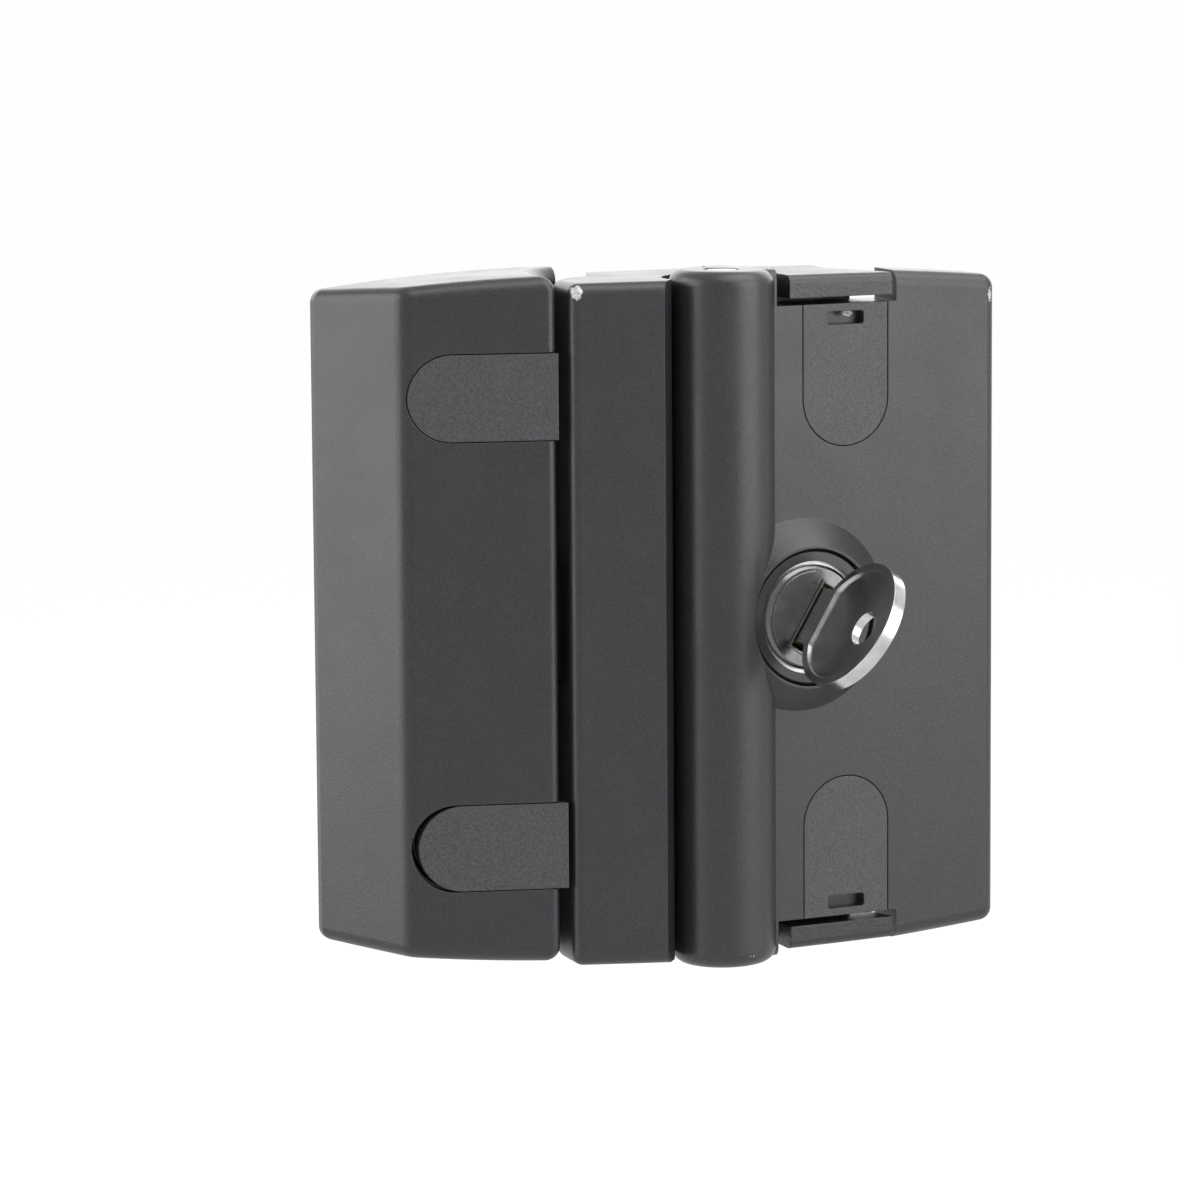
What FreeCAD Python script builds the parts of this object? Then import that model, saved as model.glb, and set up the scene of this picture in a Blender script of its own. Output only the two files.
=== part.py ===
import FreeCAD, Part

import math
import os

# Surface-mounted lock for the slotted rail of a hinged door.
# Frame: +X towards the flap's free edge, +Y into the rails, +Z up. The origin lies on the
# back of the lock base, on the groove line of the door rail, at half height.
# "Depth" below always means the distance in front of the mounting plane, along -Y.

V = FreeCAD.Vector
UP = V(0, 0, 1)
INTO_RAIL = V(0, 1, 0)
TO_FRONT = V(0, -1, 0)

# Common outline of the housings
GROOVE_PITCH = 41.1
HALF_HEIGHT = 48.0
END_ROUND = 2.0
CORNER_ROUND = 1.2
WALL = 2.5

# Curved ends: half height, radius and highest x of each casting
KEEPER_CROWN = (HALF_HEIGHT + 0.1, 280.0, -20.0)
BASE_CROWN = (HALF_HEIGHT, 1500.0, 0.0)
FLAP_CROWN = (HALF_HEIGHT + 1.1, 580.0, -10.0)

# Keeper housing on the fixed rail
KEEPER_HALF_WIDTH = 15.0
KEEPER_GAP = 0.5
KEEPER_EDGE_DEPTH = 1.5
KEEPER_BEVEL_WIDTH = 8.4
KEEPER_BEVEL_DEPTH = 15.0
KEEPER_FRONT_DEPTH = 19.5
KEEPER_COVE_DEPTH = 13.2
KEEPER_LIP_DEPTH = 3.6
KEEPER_LIP_REACH = 5.6
KEEPER_LIFT = 0.9
COVE_SHARE = 0.3
COVE_DROP = 0.9
BEVEL_ROUND = 3.4

# Mounting screws, M6, two for each half
SCREW_END_DISTANCE = 16.6
SCREW_RADIUS = 3.0
SCREW_HOLE_CLEARANCE = 0.3
SCREW_REACH = 9.0
SHANK_RADIUS = 2.7
THREAD_START = 0.5
KEEPER_HEAD_RADIUS = 5.0
KEEPER_HEAD_HEIGHT = 6.0
KEEPER_SEAT_DEPTH = 5.0
LOW_HEAD_HEIGHT = 3.6
HEAD_POCKET_CLEARANCE = 0.6
SOCKET_RADIUS = 2.6
SOCKET_DEPTH = 2.4

# Slip-in caps
KEEPER_CAP_RADIUS = 6.0
FLAP_CAP_RADIUS = 6.75
CAP_THICKNESS = 1.6
CAP_GAP = 0.15
KEEPER_CAP_SLIP = 0.9
FLAP_CAP_X = 16.9
FLAP_CAP_DROP = 17.6
PRY_SLOT_DROP = 6.3
PRY_SLOT_LENGTH = 5.9
PRY_SLOT_WIDTH = 1.9
CAP_PEG_RADIUS = 2.0
CAP_PEG_LENGTH = 3.0

# Lock base on the door rail
STRIP_LEFT_X = -25.0
STRIP_RIGHT_X = -12.0
STRIP_LEFT_DEPTH = 20.0
STRIP_RIGHT_DEPTH = 22.5
STRIP_ROUND = 1.6
TROUGH_LEAN = 12.5
NOSE_RADIUS = 7.6
NOSE_CENTRE_X = -17.2
NOSE_CENTRE_DEPTH = 13.6
BASE_LEFT_X = -15.0
BASE_RIGHT_X = 19.5
TROUGH_TRIM = 0.5
BASE_CHAMFER = 2.0
TAB_LEFT_X = 8.0
TAB_RIGHT_X = 24.5
TAB_THICKNESS = 3.3
TAB_GAP = 1.0
NOTCH_SIDE_GAP = 0.6
NOTCH_HUB_WALL = 0.4
PLATE_THICKNESS = 3.0
PLATE_END_DISTANCE = 7.3
PLATE_LEFT_X = -12.4
PLATE_RIGHT_X = 17.9
PLATE_CLEARANCE = 0.2

# Hinge of the grip flap
PIN_X = -1.5
PIN_DEPTH = 17.5
PIN_RADIUS = 2.5
PIN_RUNNING_FIT = 0.05
PIN_END_INSET = 0.1
BARREL_RADIUS = 7.4
BARREL_GAP = 1.0
LUG_RADIUS = 4.6
LUG_LOW_Z = 20.0
LUG_HIGH_Z = 28.0
LUG_WEB = 5.0
LUG_CLEARANCE = 0.4
SET_SCREW_RADIUS = 1.5
SET_SCREW_LENGTH = 6.0
FLAP_OPENING = 30.0

# Grip flap
FLAP_TILT = 6.0
FLAP_FACE_X = 11.6
FLAP_FACE_DEPTH = 19.2
FLAP_RIGHT_X = 41.5
FLAP_RIM_DEPTH = 8.6
FLAP_BACK_DEPTH = 10.2
FLAP_WEB_X = 7.4
FLANGE_WALL = 2.2

# Latch and its release lever
LATCH_REACH = 10.6
LATCH_HALF_HEIGHT = 8.0
LATCH_FRONT_DEPTH = 15.0
LATCH_BACK_DEPTH = 9.3
LATCH_BEVEL_X = 4.0
LATCH_BEVEL_DEPTH = 4.2
LATCH_HEAD_END_X = -16.2
LATCH_STEP_DEPTH = 8.2
LATCH_BRIDGE_DEPTH = 9.6
LATCH_LEG_LEFT_X = -12.0
LATCH_LEG_RIGHT_X = -8.5
LATCH_TAIL_FRONT = 6.6
LATCH_TAIL_BACK = 3.3
LATCH_TAIL_END_X = 6.5
LATCH_TAIL_HALF_HEIGHT = 18.0
LATCH_SLIDE_GAP = 0.15
LEVER_REACH = 12.0
LEVER_TIP_RADIUS = 1.6
LEVER_THICKNESS = 5.0
LEVER_Z = 13.5
LEVER_EYE_RADIUS = 5.2
LEVER_GAP = 0.3
SPRING_RADIUS = 1.55
SPRING_WIRE = 0.5
SPRING_TURNS = 7
SPRING_Z = 5.4
CAVITY_END_X = 17.0

# Key cylinder
CYLINDER_X = 9.7
BOSS_BASE_RADIUS = 13.7
BOSS_TOP_RADIUS = 10.1
BOSS_HEIGHT = 3.7
COLLAR_RADIUS = 9.75
COLLAR_BACK = 0.6
COLLAR_DROP = 0.35
COLLAR_CHAMFER = 0.5
BODY_RADIUS = 8.0
BODY_BACK = 6.0
BODY_DROP = 1.5
CLIP_RADIUS = 10.2
CLIP_GROOVE_RADIUS = 7.2
CLIP_THICKNESS = 1.2
CLIP_ARM = 1.5
PLUG_RADIUS = 6.4
PLUG_HEAD_RADIUS = 7.45
PLUG_HEAD_THICKNESS = 1.1
PLUG_DROP = 0.2
PLUG_BEVEL = 0.45
PLUG_OVERHANG = 0.5
PLUG_FIT = 0.05
KEYWAY_WIDTH = 2.2
KEYWAY_LENGTH = 10.0
KEY_ANGLE = 32.0
WAFER_COUNT = 4
WAFER_PITCH = 1.9
WAFER_THICKNESS = 0.9
WAFER_WIDTH = 4.6
WAFER_LENGTH = 11.6
WAFER_GAP = 0.05
TONGUE_LENGTH = 9.5
TONGUE_WIDTH = 4.0
TONGUE_THICKNESS = 1.6
CAM_SCREW_RADIUS = 2.0
CAM_HEAD_RADIUS = 3.0
CAM_HEAD_HEIGHT = 0.8
CAM_SCREW_REACH = 1.6
CATCH_RIB_X = 19.9
CATCH_LIP_X = 17.6
CATCH_HALF_HEIGHT = 2.5
CATCH_LIP_BACK = 12.5
CATCH_LIP_FRONT = 13.8

# Key
KEY_HEAD_RADIUS = 9.5
KEY_HEAD_OFFSET = 11.4
KEY_THICKNESS = 2.0
KEY_WEB_THICKNESS = 1.3
KEY_RIM = 1.1
KEY_HOLE_RADIUS = 2.5
KEY_HOLE_OFFSET = 3.9
KEY_BLADE_WIDTH = 8.6
KEY_BLADE_END_GAP = 1.2

# Strike plate in the keeper
STRIKE_THICKNESS = 1.5
STRIKE_HALF_HEIGHT = 14.0
STRIKE_FOOT = 9.0
STRIKE_SCREW_RADIUS = 1.5
STRIKE_HEAD_RADIUS = 2.7
STRIKE_HEAD_HEIGHT = 1.6
DRIVER_SLOT = 0.8
STRIKE_BEND = 1.2
STRIKE_SCREW_LENGTH = 6.0
POCKET_CLEARANCE = 0.6

# Base fixing screws, M4, reached through the holes under the flap caps
BASE_SCREW_X = 14.6
BASE_SCREW_RADIUS = 2.0
BASE_HEAD_RADIUS = 3.5
BASE_HEAD_HEIGHT = 3.4
ACCESS_HOLE_RADIUS = 3.9

FAR = 200.0

KEEPER_X = -GROOVE_PITCH
LATCH_TIP_X = KEEPER_X + LATCH_REACH
KEEPER_LEFT_X = KEEPER_X - KEEPER_HALF_WIDTH
KEEPER_RIGHT_X = KEEPER_X + KEEPER_HALF_WIDTH - KEEPER_GAP
MOUNT_SCREW_Z = HALF_HEIGHT - SCREW_END_DISTANCE
PLATE_HALF_HEIGHT = HALF_HEIGHT - PLATE_END_DISTANCE
TAB_INNER_Z = HALF_HEIGHT - TAB_THICKNESS
FLAP_CAP_Z = HALF_HEIGHT - FLAP_CAP_DROP
PRY_SLOT_Z = HALF_HEIGHT - PRY_SLOT_DROP
BASE_FLOOR_DEPTH = PIN_DEPTH - BARREL_RADIUS - BARREL_GAP + TROUGH_TRIM
TILT = math.radians(FLAP_TILT)
SWING = math.radians(FLAP_OPENING)
LEVER_ANGLE = SWING / 2
LATCH_TRAVEL = 2 * LEVER_REACH * math.sin(LEVER_ANGLE)


def at(x, depth, z=0.0):
    return V(x, -depth, z)


def flap_depth(x):
    """Depth of the flap's front face at x."""
    return FLAP_FACE_DEPTH - (x - FLAP_FACE_X) * math.tan(TILT)


def crown_z(crown, x, inset=0.0):
    """Height of a casting's curved top at x."""
    half_height, radius, crown_x = crown
    return half_height - radius + math.sqrt((radius - inset)**2 - (x - crown_x)**2)


def plan_wire(items):
    """Closed wire in plan from points (x, depth); a pair of points in a list is an arc's
    middle and end."""
    edges = []
    here = at(*items[0])
    start = here
    for item in items[1:]:
        if isinstance(item, list):
            middle, end = at(*item[0]), at(*item[1])
            edges.append(Part.Arc(here, middle, end).toShape())
        else:
            end = at(*item)
            edges.append(Part.makeLine(here, end))
        here = end
    if (here - start).Length > 1e-6:
        edges.append(Part.makeLine(here, start))
    return Part.Wire(edges)


def prism(items, low, high):
    """Upright prism over a plan outline."""
    face = Part.Face(plan_wire(items))
    face.translate(V(0, 0, low))
    return face.extrude(V(0, 0, high - low))


def box(x0, x1, depth0, depth1, z0, z1):
    return Part.makeBox(x1 - x0, depth1 - depth0, z1 - z0, V(x0, -depth1, z0))


def rod(x, depth0, depth1, z, radius):
    """Round bar along the depth direction."""
    return Part.makeCylinder(radius, depth1 - depth0, at(x, depth0, z), TO_FRONT)


def post(x, depth, z0, z1, radius):
    """Round bar along the height."""
    return Part.makeCylinder(radius, z1 - z0, at(x, depth, z0), UP)


def crowned(shape, crown, inset=0.0):
    """The shape, cut to a casting's curved top and bottom."""
    half_height, radius, crown_x = crown
    left, right = crown_x - FAR / 2, crown_x + FAR / 2
    ends = [(left, crown_z(crown, left, inset)), (crown_x, half_height - inset),
            (right, crown_z(crown, right, inset))]
    top = [V(x, FAR / 2, z) for x, z in ends]
    bottom = [V(x, FAR / 2, -z) for x, z in reversed(ends)]
    wire = Part.Wire([Part.Arc(*top).toShape(), Part.makeLine(top[-1], bottom[0]),
                      Part.Arc(*bottom).toShape(), Part.makeLine(bottom[-1], top[0])])
    slab = Part.Face(wire).extrude(V(0, -FAR, 0))
    return shape.common(slab)


def mirrored(shape):
    return shape.mirror(V(0, 0, 0), UP)


def both(shape):
    """An upper feature and its lower twin."""
    return shape.fuse(mirrored(shape))


def upright_edges(shape, places, tolerance=0.05):
    """Edges parallel to Z that stand over the given plan points."""
    found = []
    for edge in shape.Edges:
        first, last = edge.Vertexes[0].Point, edge.Vertexes[-1].Point
        if abs(first.z - last.z) < 1.0:
            continue
        for x, depth in places:
            if abs(first.x - x) < tolerance and abs(first.y + depth) < tolerance:
                if abs(last.x - x) < tolerance and abs(last.y + depth) < tolerance:
                    found.append(edge)
    return found


def crown_edges(shape, crown, keep):
    """Edges of the curved ends whose middle (x, depth) passes the keep test."""
    found = []
    for edge in shape.Edges:
        middle = edge.valueAt((edge.FirstParameter + edge.LastParameter) / 2)
        on_end = abs(abs(middle.z) - crown_z(crown, middle.x)) < 0.05
        if on_end and keep(middle.x, -middle.y):
            found.append(edge)
    return found


def round_over(shape, edges, radius):
    return shape.makeFillet(radius, edges)


def flap_frame(shape):
    """Places a piece drawn with its axis on +Z at the key cylinder's seat on the flap's
    face, with the axis pointing out of the face."""
    shape = shape.copy()
    shape.rotate(V(0, 0, 0), V(1, 0, 0), 90)
    shape.rotate(V(0, 0, 0), UP, FLAP_TILT)
    shape.translate(at(CYLINDER_X, flap_depth(CYLINDER_X)))
    return shape


def key_frame(shape):
    """As flap_frame, turned about the cylinder's axis to the key's angle at rest. Drawn
    with the keyway along +Y."""
    shape = shape.copy()
    shape.rotate(V(0, 0, 0), UP, -KEY_ANGLE)
    return flap_frame(shape)


def drum(radius, low, high, centre=V(0, 0, 0)):
    return Part.makeCylinder(radius, high - low, centre + V(0, 0, low), UP)


def block(half_x, half_y, low, high):
    return Part.makeBox(2 * half_x, 2 * half_y, high - low, V(-half_x, -half_y, low))


def hex_socket(x, depth, z):
    """Hexagonal recess in a screw head whose top lies at the depth."""
    corners = [V(x + SOCKET_RADIUS * math.cos(math.radians(60 * i)), -depth,
                 z + SOCKET_RADIUS * math.sin(math.radians(60 * i))) for i in range(7)]
    return Part.Face(Part.makePolygon(corners)).extrude(INTO_RAIL * SOCKET_DEPTH)


def socket_screw(x, seat, z, radius, head_radius, head_height):
    """Socket screw with its head on the seat."""
    shank = rod(x, 0, seat, z, radius)
    head = rod(x, seat, seat + head_height, z, head_radius)
    rim = [edge for edge in head.Edges if abs(edge.BoundBox.Center.y + seat + head_height) < 0.01]
    head = head.makeChamfer(head_height / 12, rim)
    return shank.fuse(head).cut(hex_socket(x, seat + head_height, z)).removeSplitter()


def rail_screw(x, seat, z, head_height):
    """M6 screw into a slot nut of the rail: rolled thread behind the mounting plane, reduced
    shank in front of it."""
    screw = socket_screw(x, seat, z, SHANK_RADIUS, KEEPER_HEAD_RADIUS, head_height)
    thread = rod(x, -SCREW_REACH, -THREAD_START, z, SCREW_RADIUS)
    neck = rod(x, -THREAD_START, 0, z, SHANK_RADIUS)
    return screw.fuse([neck, thread]).removeSplitter()


# Keeper

def keeper_front_depth(x):
    """Depth of the keeper's sloping front face at x."""
    start = KEEPER_LEFT_X + KEEPER_BEVEL_WIDTH
    slope = (KEEPER_FRONT_DEPTH - KEEPER_BEVEL_DEPTH) / (KEEPER_RIGHT_X - start)
    return KEEPER_BEVEL_DEPTH + (x - start) * slope


def keeper_cove():
    """Middle and end of the hollow beside the lock base's nose."""
    start_x = KEEPER_RIGHT_X
    end_x = KEEPER_RIGHT_X + KEEPER_LIP_REACH
    reach = KEEPER_LIP_REACH * COVE_SHARE
    middle_depth = (KEEPER_COVE_DEPTH + KEEPER_LIP_DEPTH) / 2 - COVE_DROP
    return [(start_x + reach, middle_depth), (end_x, KEEPER_LIP_DEPTH)]


def keeper_outline():
    bevel_x = KEEPER_LEFT_X + KEEPER_BEVEL_WIDTH
    return [(KEEPER_LEFT_X, 0), (KEEPER_LEFT_X, KEEPER_EDGE_DEPTH),
            (bevel_x, KEEPER_BEVEL_DEPTH), (KEEPER_RIGHT_X, KEEPER_FRONT_DEPTH),
            (KEEPER_RIGHT_X, KEEPER_COVE_DEPTH), keeper_cove(),
            (KEEPER_RIGHT_X + KEEPER_LIP_REACH, 0)]


def keeper_cap_prism(grow, depth_low, slip=0.0):
    """U-shaped tongue in the keeper's front face, from depth_low below the face to well
    in front of it."""
    radius = KEEPER_CAP_RADIUS + grow
    left = KEEPER_X + slip
    right = KEEPER_RIGHT_X + slip
    z = MOUNT_SCREW_Z
    top, bottom, tip = V(left, 0, z + radius), V(left, 0, z - radius), V(left - radius, 0, z)
    wire = Part.Wire([Part.Arc(top, tip, bottom).toShape(),
                      Part.makeLine(bottom, V(right, 0, z - radius)),
                      Part.makeLine(V(right, 0, z - radius), V(right, 0, z + radius)),
                      Part.makeLine(V(right, 0, z + radius), top)])
    column = Part.Face(wire).extrude(TO_FRONT * FAR)
    left_x, right_x = KEEPER_LEFT_X, KEEPER_RIGHT_X + KEEPER_HALF_WIDTH
    band = prism([(left_x, keeper_front_depth(left_x) - depth_low),
                  (left_x, FAR), (right_x, FAR),
                  (right_x, keeper_front_depth(right_x) - depth_low)],
                 0, FAR)
    return column.common(band)


def keeper_front_slice():
    """Space behind the keeper's front face."""
    left_x, right_x = KEEPER_LEFT_X - 1, KEEPER_RIGHT_X + KEEPER_HALF_WIDTH
    return prism([(left_x, 0), (left_x, keeper_front_depth(left_x)),
                  (right_x, keeper_front_depth(right_x)), (right_x, 0)], 0, FAR)


def make_keeper_cap():
    """Flush cap over a mounting screw, with a peg that snaps into the screw's well."""
    cap = keeper_cap_prism(0.0, CAP_THICKNESS).common(keeper_front_slice())
    peg_top = keeper_front_depth(KEEPER_X) - CAP_THICKNESS / 2
    peg = rod(KEEPER_X, peg_top - CAP_THICKNESS / 2 - CAP_PEG_LENGTH / 3, peg_top,
              MOUNT_SCREW_Z, CAP_PEG_RADIUS)
    return cap.fuse(peg).removeSplitter()


def strike_x():
    """Left face of the strike plate, against the inner side of the keeper's right wall."""
    return KEEPER_RIGHT_X - WALL - STRIKE_THICKNESS


def strike_screw_x():
    return strike_x() - STRIKE_FOOT / 2


def strike_screw_z():
    return STRIKE_HALF_HEIGHT - WALL - STRIKE_HEAD_RADIUS / 2


def pocket_half_height():
    """Half height of the keeper's pocket, which takes the latch at any height of the
    keeper's seat on its rail."""
    return LATCH_HALF_HEIGHT + POCKET_CLEARANCE + KEEPER_LIFT


def make_keeper_housing():
    outer = crowned(prism(keeper_outline(), -FAR, FAR), KEEPER_CROWN)
    bevel_x = KEEPER_LEFT_X + KEEPER_BEVEL_WIDTH
    outer = round_over(outer, upright_edges(outer, [(bevel_x, KEEPER_BEVEL_DEPTH)]), BEVEL_ROUND)
    outer = round_over(outer, upright_edges(outer, [(KEEPER_RIGHT_X, KEEPER_FRONT_DEPTH)]),
                       CORNER_ROUND)
    rims = crown_edges(outer, KEEPER_CROWN, lambda x, depth: depth > 0.1 and (
        x < KEEPER_RIGHT_X - 0.01 or depth > KEEPER_COVE_DEPTH))
    outer = round_over(outer, rims, END_ROUND)

    inner_wire = plan_wire(keeper_outline()).makeOffset2D(-WALL)
    hollow = Part.Face(inner_wire)
    hollow.translate(V(0, 0, -FAR))
    hollow = hollow.extrude(V(0, 0, 2 * FAR))
    mouth = box(KEEPER_LEFT_X + WALL + KEEPER_EDGE_DEPTH, KEEPER_RIGHT_X + KEEPER_LIP_REACH - WALL,
                -1, WALL + 1, -FAR, FAR)
    hollow = crowned(hollow.fuse(mouth), KEEPER_CROWN, WALL)

    boss_radius = KEEPER_HEAD_RADIUS + HEAD_POCKET_CLEARANCE + WALL / 2
    boss = rod(KEEPER_X, 0, keeper_front_depth(KEEPER_X), MOUNT_SCREW_Z, boss_radius)
    rib = box(KEEPER_X - WALL / 2, KEEPER_X + WALL / 2, 0, KEEPER_BEVEL_DEPTH,
              MOUNT_SCREW_Z, HALF_HEIGHT)
    tray = keeper_cap_prism(CAP_GAP + WALL / 2, CAP_THICKNESS + WALL / 2)
    posts = rod(strike_screw_x(), STRIKE_THICKNESS + KEEPER_EDGE_DEPTH, KEEPER_FRONT_DEPTH,
                strike_screw_z(), STRIKE_HEAD_RADIUS)
    hollow = hollow.cut(both(boss.fuse(rib).fuse(tray).fuse(posts)))

    recess = keeper_cap_prism(CAP_GAP, CAP_THICKNESS)
    well = rod(KEEPER_X, KEEPER_SEAT_DEPTH, FAR, MOUNT_SCREW_Z,
               KEEPER_HEAD_RADIUS + HEAD_POCKET_CLEARANCE)
    hole = rod(KEEPER_X, -1, FAR, MOUNT_SCREW_Z, SCREW_RADIUS + SCREW_HOLE_CLEARANCE)
    tapped = rod(strike_screw_x(), 0, KEEPER_EDGE_DEPTH + STRIKE_THICKNESS + STRIKE_SCREW_LENGTH,
                 strike_screw_z(), STRIKE_SCREW_RADIUS)
    cuts = both(recess.fuse(well).fuse(hole).fuse(tapped))

    pocket = box(strike_x() - WALL, FAR, LATCH_BACK_DEPTH - POCKET_CLEARANCE,
                 LATCH_FRONT_DEPTH + POCKET_CLEARANCE, -pocket_half_height(), pocket_half_height())
    return outer.cut(hollow).cut(cuts).cut(pocket).removeSplitter()


def strike_seat():
    """Depth of the strike plate's foot, where the bosses for its screws end."""
    return KEEPER_EDGE_DEPTH


def make_strike_plate():
    """Bent steel plate, forked where the latch enters."""
    left = strike_x()
    foot_depth = strike_seat()
    upright = box(left, left + STRIKE_THICKNESS, foot_depth,
                  keeper_front_depth(left) - WALL - POCKET_CLEARANCE,
                  -STRIKE_HALF_HEIGHT, STRIKE_HALF_HEIGHT)
    foot = box(left - STRIKE_FOOT, left + STRIKE_THICKNESS, foot_depth,
               foot_depth + STRIKE_THICKNESS, -STRIKE_HALF_HEIGHT, STRIKE_HALF_HEIGHT)
    plate = upright.fuse(foot).removeSplitter()
    bend = []
    for edge in plate.Edges:
        centre = edge.BoundBox.Center
        if (edge.BoundBox.ZLength > STRIKE_HALF_HEIGHT and abs(centre.x - left - STRIKE_THICKNESS) < 0.01
                and abs(centre.y + foot_depth) < 0.01):
            bend.append(edge)
    plate = round_over(plate, bend, STRIKE_BEND)
    window_half = pocket_half_height() - POCKET_CLEARANCE / 2
    window = box(left - 1, left + STRIKE_THICKNESS + 1, LATCH_BACK_DEPTH - POCKET_CLEARANCE / 2,
                 FAR, -window_half, window_half)
    holes = both(rod(strike_screw_x(), 0, FAR, strike_screw_z(), STRIKE_SCREW_RADIUS))
    return plate.cut(window).cut(holes)


def make_strike_screws():
    """Two pan-head screws that hold the strike plate's foot."""
    z = strike_screw_z()
    x = strike_screw_x()
    seat = strike_seat()
    head = rod(x, seat - STRIKE_HEAD_HEIGHT, seat, z, STRIKE_HEAD_RADIUS)
    shank = rod(x, seat, seat + STRIKE_THICKNESS + STRIKE_SCREW_LENGTH, z, STRIKE_SCREW_RADIUS)
    slot = box(x - STRIKE_HEAD_RADIUS, x + STRIKE_HEAD_RADIUS, seat - STRIKE_HEAD_HEIGHT - 1,
               seat - STRIKE_HEAD_HEIGHT / 2, z - DRIVER_SLOT / 2, z + DRIVER_SLOT / 2)
    screw = head.fuse(shank).cut(slot)
    return Part.makeCompound([screw, mirrored(screw)])


def make_keeper_screw():
    return rail_screw(KEEPER_X, KEEPER_SEAT_DEPTH, MOUNT_SCREW_Z, KEEPER_HEAD_HEIGHT)


# Lock base

def base_outline():
    """Plan of the base: nose towards the keeper, front strip, trough round the flap's
    barrel and floor under the flap."""
    side_x = NOSE_CENTRE_X - NOSE_RADIUS
    turn = NOSE_RADIUS * math.sqrt(0.5)
    trough = BARREL_RADIUS + BARREL_GAP
    lean = math.radians(TROUGH_LEAN)
    floor_x = PIN_X + math.sqrt(trough**2 - (PIN_DEPTH - BASE_FLOOR_DEPTH)**2)
    return [(BASE_LEFT_X, 0), (NOSE_CENTRE_X, NOSE_CENTRE_DEPTH - NOSE_RADIUS),
            [(NOSE_CENTRE_X - turn, NOSE_CENTRE_DEPTH - turn), (side_x, NOSE_CENTRE_DEPTH)],
            (STRIP_LEFT_X, STRIP_LEFT_DEPTH), (STRIP_RIGHT_X, STRIP_RIGHT_DEPTH),
            (PIN_X - trough * math.cos(lean), PIN_DEPTH + trough * math.sin(lean)),
            [(PIN_X - trough * math.sqrt(0.5), PIN_DEPTH - trough * math.sqrt(0.5)),
             (floor_x, BASE_FLOOR_DEPTH)],
            (BASE_RIGHT_X + BASE_CHAMFER, BASE_FLOOR_DEPTH),
            (BASE_RIGHT_X, BASE_FLOOR_DEPTH / 2), (BASE_RIGHT_X, 0)]


def base_block():
    block = crowned(prism(base_outline(), -FAR, FAR), BASE_CROWN)
    rims = crown_edges(block, BASE_CROWN, lambda x, depth: depth > NOSE_CENTRE_DEPTH and (
        x < STRIP_RIGHT_X - 0.05))
    corner = upright_edges(block, [(STRIP_LEFT_X, STRIP_LEFT_DEPTH)])
    return round_over(block, rims + corner, STRIP_ROUND)


def end_wall():
    """Upper end wall of the base, whose front shows as a tab in the flap's notch."""
    wall = prism([(TAB_LEFT_X, BASE_FLOOR_DEPTH - 1), (TAB_LEFT_X, flap_depth(TAB_LEFT_X)),
                  (TAB_RIGHT_X, flap_depth(TAB_RIGHT_X)),
                  (TAB_RIGHT_X, flap_depth(TAB_RIGHT_X) - 1),
                  (BASE_RIGHT_X + BASE_CHAMFER, BASE_FLOOR_DEPTH),
                  (BASE_RIGHT_X + BASE_CHAMFER, BASE_FLOOR_DEPTH - 1)],
                 TAB_INNER_Z, FAR)
    wall = crowned(wall, BASE_CROWN)
    front = crown_edges(wall, BASE_CROWN, lambda x, depth: depth > flap_depth(TAB_RIGHT_X) - 0.5
                        and TAB_LEFT_X + 0.1 < x < TAB_RIGHT_X - 0.1)
    return round_over(wall, front, CORNER_ROUND)


def hinge_lug():
    """Upper lug of the base that carries the hinge pin inside the flap's barrel."""
    ring = post(PIN_X, PIN_DEPTH, LUG_LOW_Z, LUG_HIGH_Z, LUG_RADIUS)
    web = box(PIN_X - LUG_WEB / 2, PIN_X + LUG_WEB / 2, LATCH_TAIL_FRONT, PIN_DEPTH,
              LUG_LOW_Z, LUG_HIGH_Z)
    return ring.fuse(web)


def catch():
    """Hook on the base's floor that the cam's tongue turns under."""
    rib = box(CATCH_RIB_X, BASE_RIGHT_X + BASE_CHAMFER, BASE_FLOOR_DEPTH - 1, CATCH_LIP_FRONT,
              -CATCH_HALF_HEIGHT, CATCH_HALF_HEIGHT)
    lip = box(CATCH_LIP_X, BASE_RIGHT_X + BASE_CHAMFER, CATCH_LIP_BACK, CATCH_LIP_FRONT,
              -CATCH_HALF_HEIGHT, CATCH_HALF_HEIGHT)
    return rib.fuse(lip)


def set_screw_z():
    return (LUG_LOW_Z + LUG_HIGH_Z) / 2


def base_screw_seat():
    return BASE_FLOOR_DEPTH - BASE_HEAD_HEIGHT


def latch_space():
    """Slideway of the latch through the base, with a window for the release lever."""
    gap = LATCH_SLIDE_GAP
    half = LATCH_HALF_HEIGHT + gap
    head = box(-FAR, PIN_X, LATCH_BACK_DEPTH - gap, LATCH_FRONT_DEPTH + gap, -half, half)
    bridge = box(NOSE_CENTRE_X - CORNER_ROUND * 2, PIN_X + WALL, LATCH_STEP_DEPTH - gap,
                 BASE_FLOOR_DEPTH + 1, -half, half)
    tail_half = LATCH_TAIL_HALF_HEIGHT + gap
    tail = box(LATCH_LEG_LEFT_X - gap, CAVITY_END_X, PLATE_THICKNESS - 0.01,
               LATCH_TAIL_FRONT + gap, -tail_half, tail_half)
    leg = box(LATCH_LEG_LEFT_X - gap, LATCH_LEG_RIGHT_X + LATCH_TRAVEL + gap,
              PLATE_THICKNESS - 0.01, BASE_FLOOR_DEPTH + 1, -half, half)
    tip_side = LEVER_REACH * math.sin(LEVER_ANGLE) + LEVER_TIP_RADIUS * 1.3
    lever_half = LEVER_THICKNESS / 2 + LUG_CLEARANCE
    window = box(PIN_X - tip_side, PIN_X + tip_side, PLATE_THICKNESS, PIN_DEPTH,
                 LEVER_Z - lever_half, LEVER_Z + lever_half)
    return head.fuse(bridge).fuse(tail).fuse(leg).fuse(both(window))


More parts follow.
